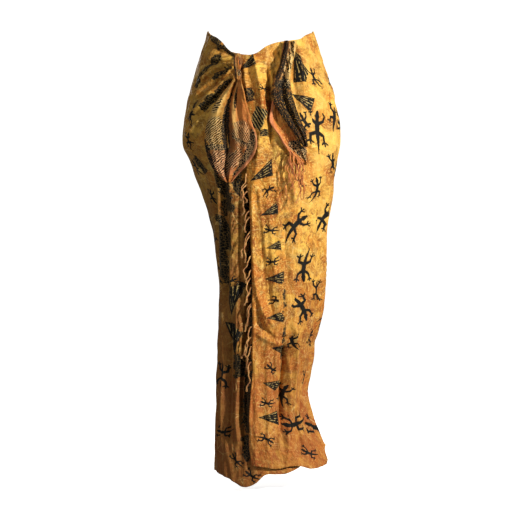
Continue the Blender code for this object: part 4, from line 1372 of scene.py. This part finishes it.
def fringe_yarn(name, crest, painted_shade):
    """Twisted rayon yarn in streaks of two colours: a paler one, painted highlight of its twist, and a darker
    one, painted shade of its hollows.
    """
    made, tree, shader = new_material(name)
    place = put(tree, "ShaderNodeTexCoord")
    streaks = put(tree, "ShaderNodeTexNoise", {
        "Vector": place.outputs["Object"], "Scale": scale_for(YARN_STREAK), "Detail": 3.0,
    })
    share = put(tree, "ShaderNodeMapRange", {"Value": streaks, "From Min": 0.35, "From Max": 0.65})
    colour = put(tree, "ShaderNodeMix", {
        "Factor": share, "A": linear(crest), "B": linear(painted_shade),
    }, data_type="RGBA")
    feed(tree, shader, {"Base Color": colour, "Roughness": 0.6, "Sheen Weight": 0.3})
    return made


# Fringe: bundles of twisted threads
THREADS = 4
THREAD_SIDES = 5
THREAD_STEPS = 26
THREAD_RADIUS = 0.9
BUNDLE_RADIUS = 1.5
THREAD_END = 0.45
# A bundle leaves its root within this length, twists once in the second one, and opens towards its end
BUNDLE_SETTLE = 14.0
TWIST_LENGTH = 11.0
BUNDLE_OPENING = (0.6, 0.9)
# Its crimp: how far it wanders, over what length, and the share and length of a second, smaller wander
CRIMP_RISES = (1.6, 5.6)
CRIMP_LENGTHS = (44.0, 76.0)
SECOND_CRIMP = (0.4, 0.37)
CRIMP_DEPTH = 0.6

# The free edge's fringe: its bundles, the heights that they leave it at, how far each one's root is
# moved off the edge, and the ranges of each one's drift to the side and forward and of its length
EDGE_BUNDLES = 17
EDGE_FROM = -280.0
EDGE_TO = -710.0
EDGE_PLAY = 14.0
EDGE_ROOT = (-1.5, 1.2, 0.0)
EDGE_DRIFTS = ((-18.0, -5.0), (-8.0, 0.0))
EDGE_LENGTHS = (24.0, 80.0)
# The tail's fringe: its bundles, from where to where down the folded half's left edge, and as above
TAIL_BUNDLES = 12
TAIL_SHARES = (0.84, 0.995)
TAIL_ROOT = (0.0, -1.0, 0.0)
TAIL_DRIFTS = ((-6.0, 8.0), (-6.0, 0.0))
TAIL_LENGTHS = (54.0, 112.0)


def bundle(root, drift, length, dice):
    """Points of the threads of one bundle that leaves its root and hangs, crimped and twisted."""
    share = np.linspace(0.0, 1.0, THREAD_STEPS)
    crimp = dice.uniform(*CRIMP_RISES)
    wave = dice.uniform(*CRIMP_LENGTHS)
    phase = dice.uniform(0, 2 * math.pi)
    second, shorter = SECOND_CRIMP
    out = 1 - np.exp(-share * length / BUNDLE_SETTLE)
    z = root[2] - length * share
    first_wander = np.sin(2 * math.pi * z / wave + phase)
    second_wander = np.sin(2 * math.pi * z / (shorter * wave) + 2 * phase)
    heart = np.stack([
        root[0] + drift[0] * out + crimp * out * (first_wander + second * second_wander),
        root[1] + drift[1] * out + CRIMP_DEPTH * crimp * out * np.cos(2 * math.pi * z / wave + phase),
        z,
    ], axis=-1)
    tight, loose = BUNDLE_OPENING
    spread = BUNDLE_RADIUS * (tight + loose * share**3)
    threads = []
    for number in range(THREADS):
        angle = 2 * math.pi * (number / THREADS + share * length / TWIST_LENGTH)
        threads.append(heart + np.stack([spread * np.cos(angle), spread * np.sin(angle), 0 * angle], axis=-1))
    return threads


def thread_mesh(name, node, threads, finish):
    """Tapered tubes round the threads, joined into one piece."""
    points, faces = [], []
    ring = np.arange(THREAD_SIDES)
    for thread in threads:
        start = sum(len(part) for part in points)
        radius = THREAD_RADIUS * np.linspace(1.0, THREAD_END, THREAD_STEPS)[:, None]
        angle = 2 * math.pi * ring[None, :] / THREAD_SIDES
        circle = np.stack([radius * np.cos(angle), radius * np.sin(angle), 0 * radius * angle], axis=-1)
        points.append((thread[:, None, :] + circle).reshape(-1, 3))
        for step in range(THREAD_STEPS - 1):
            a = start + step * THREAD_SIDES
            for k in range(THREAD_SIDES):
                n = (k + 1) % THREAD_SIDES
                faces.append((a + k, a + THREAD_SIDES + k, a + THREAD_SIDES + n, a + n))
    made = mesh_object(name, np.concatenate(points), np.array(faces), {}, finish)
    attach(made, "root")
    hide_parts(node)
    return made


def edge_fringe(finish):
    """Threads drawn out of the free front edge, from under the left tail to well below its middle."""
    dice = np.random.default_rng(SEED + 1)
    threads = []
    for share in np.linspace(0.0, 1.0, EDGE_BUNDLES):
        z = EDGE_FROM + (EDGE_TO - EDGE_FROM) * share + dice.uniform(-EDGE_PLAY, EDGE_PLAY)
        root = wound_point(free_edge_turn(np.float64(z)), np.float64(z)) + np.array(EDGE_ROOT)
        drift = [dice.uniform(*span) for span in EDGE_DRIFTS]
        threads += bundle(root, drift, dice.uniform(*EDGE_LENGTHS), dice)
    return thread_mesh("front_edge_threads", "front_edge_fringe", threads, finish)


def left_edge(tail_object):
    """Points down a tail's left edge, one column in from it and down to one row above its end."""
    roll = len(ROLL_ANGLES)
    columns = TAIL_GRID[1] + 2 * roll
    corners = tail_object.data.vertices
    return np.array([corners[row * columns + roll + 1].co for row in range(TAIL_GRID[0] - 1)]) / MM


def tail_fringe(tail_object, finish):
    """Threads along the end of the folded half of the right tail."""
    dice = np.random.default_rng(SEED + 2)
    edge_points = left_edge(tail_object)
    threads = []
    for share in np.linspace(*TAIL_SHARES, TAIL_BUNDLES):
        root = edge_points[int(share * (len(edge_points) - 1))] + np.array(TAIL_ROOT)
        drift = [dice.uniform(*span) for span in TAIL_DRIFTS]
        threads += bundle(root, drift, dice.uniform(*TAIL_LENGTHS), dice)
    return thread_mesh("tail_threads", "tail_fringe", threads, finish)


# The knot: pleats gathered into one upright bundle
KNOT_TOP = (-55.0, -10.0)
KNOT_END = (-53.0, -70.0)
KNOT_WIDTH = 18.0
KNOT_DEPTH = 16.0
KNOT_GAP = 1.0
KNOT_GRID = (60, 90)
# Its pleats: how many go round, their rise, their twist down the knot and where they start
KNOT_PLEATS = ((3, 0.20, 1.9, 0.4), (5, 0.20, -0.9, 1.9), (9, 0.10, 1.4, 0.7))
KNOT_TWIST = 3
# It is narrow at both ends, and nipped at a share of its height, where it was pulled tight
KNOT_END_SHARE = 0.3
KNOT_SWELL = 0.6
KNOT_SWELL_SPAN = (0.06, 0.94)
NIP_DEPTH = 0.22
NIP_HEIGHT = 0.62
NIP_REACH = 0.10


def knot(view, finish):
    """The pleated bundle, just clear of the cloth behind it."""
    rings, sides = KNOT_GRID
    t = np.linspace(0.0, 1.0, rings)[:, None]
    angle = np.linspace(0.0, 2 * math.pi, sides)[None, :]
    low, high = KNOT_SWELL_SPAN
    swell = np.sin(math.pi * (low + (high - low) * t)) ** KNOT_SWELL
    full = KNOT_END_SHARE + (1 - KNOT_END_SHARE) * swell
    rib = 1.0
    for count, rise, twist, start in KNOT_PLEATS:
        rib = rib + rise * np.sin(count * angle + twist * t * KNOT_TWIST + start)
    waist = 1 - NIP_DEPTH * np.exp(-(((t - NIP_HEIGHT) / NIP_REACH) ** 2))
    x = KNOT_TOP[0] + (KNOT_END[0] - KNOT_TOP[0]) * t
    z = KNOT_TOP[1] + (KNOT_END[1] - KNOT_TOP[1]) * t
    depths = [view.around(float(a), float(b), KNOT_WIDTH / 2) for a, b in zip(x[:, 0], z[:, 0])]
    y = min(depths) - KNOT_GAP - KNOT_DEPTH / 2
    points = np.stack([
        x + KNOT_WIDTH / 2 * full * rib * waist * np.cos(angle),
        y + KNOT_DEPTH / 2 * full * rib * waist * np.sin(angle),
        z + 0 * angle,
    ], axis=-1)
    faces = grid_faces(rings, sides)
    shares = np.stack([np.cos(angle) + 0 * t, t + 0 * angle], axis=-1).reshape(-1, 2)[faces]
    cloth = (points[..., (0, 2)] * MM).reshape(-1, 2)[faces]
    made = mesh_object("knot_pleats", points, faces, {"cloth": cloth, "share": shares}, finish)
    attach(made, "root")
    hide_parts("knot")
    return made


# The studio, in metres
CAMERA_SENSOR = 36.0
CAMERA_LENS = 101.9
CAMERA_PLACE = (0.0, -3.5, -0.486)
LIGHT_TARGET = (0.0, 0.0, -0.5)
LIGHT_COLUMNS = ("name", "place", "watts", "size", "colour")
LIGHTS = (
    ("key", (2.4, -2.1, 0.75), 165.0, 0.25, "#FFF7EA"),
    ("fill", (-2.0, -2.8, 0.3), 27.0, 1.4, "#FFF4E6"),
    ("back", (-1.5, 3.0, 0.9), 34.0, 0.6, "#FFF7EA"),
)
WORLD_STRENGTH = 0.13
SWEEP_RADIUS = 6.0
SWEEP_BEND = 1.5
SWEEP_BEND_STEPS = 8
SWEEP_HEIGHT = 6.0
SWEEP_SIDES = 72
SWEEP_GLOW = 0.85
FLOOR_LEVEL = -1.022


def front_camera():
    """A camera straight in front, level with the garment's middle."""
    data = bpy.data.cameras.new("camera")
    data.sensor_width = CAMERA_SENSOR
    data.lens = CAMERA_LENS
    camera = bpy.data.objects.new("camera", data)
    camera.location = CAMERA_PLACE
    camera.rotation_euler = (math.radians(90), 0, 0)
    bpy.context.scene.collection.objects.link(camera)
    bpy.context.scene.camera = camera


def soft_lights():
    """A warm key light from the right, a weak wide fill from the left, a back light and a pale world."""
    for row in LIGHTS:
        light = dict(zip(LIGHT_COLUMNS, row))
        data = bpy.data.lights.new(light["name"], "AREA")
        data.energy = light["watts"]
        data.size = light["size"]
        data.color = linear(light["colour"])[:3]
        lamp = bpy.data.objects.new(light["name"], data)
        lamp.location = light["place"]
        aim = Vector(LIGHT_TARGET) - Vector(light["place"])
        lamp.rotation_euler = aim.to_track_quat("-Z", "Y").to_euler()
        bpy.context.scene.collection.objects.link(lamp)
    world = bpy.data.worlds.new("studio")
    world.use_nodes = True
    sky = world.node_tree.nodes["Background"]
    sky.inputs["Color"].default_value = linear("#FFFFFF")
    sky.inputs["Strength"].default_value = WORLD_STRENGTH
    bpy.context.scene.world = world
    bpy.context.scene.view_settings.view_transform = "Standard"


def white_paper():
    """Matt white paper that glows a little, so that it stays pale in every view."""
    made, tree, shader = new_material("white_paper_sweep")
    feed(tree, shader, {
        "Base Color": linear("#F7F6F4"), "Roughness": 0.9,
        "Emission Color": linear("#FFFFFF"), "Emission Strength": SWEEP_GLOW,
    })
    return made


def paper_sweep():
    """Floor and wall in one: a round sweep whose wall stands outside every camera."""
    profile = [(0.0, 0.0), (SWEEP_RADIUS - SWEEP_BEND, 0.0)]
    for angle in np.radians(np.linspace(0.0, 90.0, SWEEP_BEND_STEPS + 1)[1:]):
        out = SWEEP_RADIUS - SWEEP_BEND + SWEEP_BEND * math.sin(angle)
        profile.append((out, SWEEP_BEND - SWEEP_BEND * math.cos(angle)))
    profile.append((SWEEP_RADIUS, SWEEP_HEIGHT))
    around = np.radians(np.linspace(0.0, 360.0, SWEEP_SIDES + 1))
    points = np.array([
        [(out * math.cos(a), out * math.sin(a), up + FLOOR_LEVEL) for a in around] for out, up in profile
    ]) / MM
    sweep = mesh_object("backdrop_sweep", points, grid_faces(*points.shape[:2]), {}, white_paper())
    sweep.visible_diffuse = False
    sweep.visible_glossy = False


front_camera()
soft_lights()
paper_sweep()
wrap = wound_cloth(printed_rayon())
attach(wrap, "root")
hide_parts("inner_end", "under_front", "back_wrap", "over_front")

left_rayon = tail_rayon("rayon_left_tail", "#A2652E", LEFT_TAIL_PATCHES)
right_rayon = tail_rayon("rayon_right_tail", "#8E5526", RIGHT_TAIL_PATCHES)
folded_rayon = tail_rayon("rayon_folded_half", "#C05E30", FOLDED_HALF_PATCHES)
knot_rayon = tail_rayon("rayon_knot", "#8A5128", KNOT_PATCHES)
view = FrontView([wrap])
tail("left_tail_cloth", "left_tail", LEFT_TAIL, LEFT_TAIL_WAVES, view, left_rayon)
folded = tail(
    "folded_half_cloth", "right_tail_folded_half",
    RIGHT_TAIL_UNDER, RIGHT_TAIL_UNDER_WAVES, view, folded_rayon,
)
knot(view, knot_rayon)
view = FrontView([wrap, folded])
tail("right_tail_cloth", "right_tail", RIGHT_TAIL, RIGHT_TAIL_WAVES, view, right_rayon)
# Each yarn's first colour is a painted highlight and its second painted shade
edge_fringe(fringe_yarn("tan_rayon_yarn", "#E2AE66", "#A4622C"))
tail_fringe(folded, fringe_yarn("orange_rayon_yarn", "#E2913F", "#9C4A1E"))
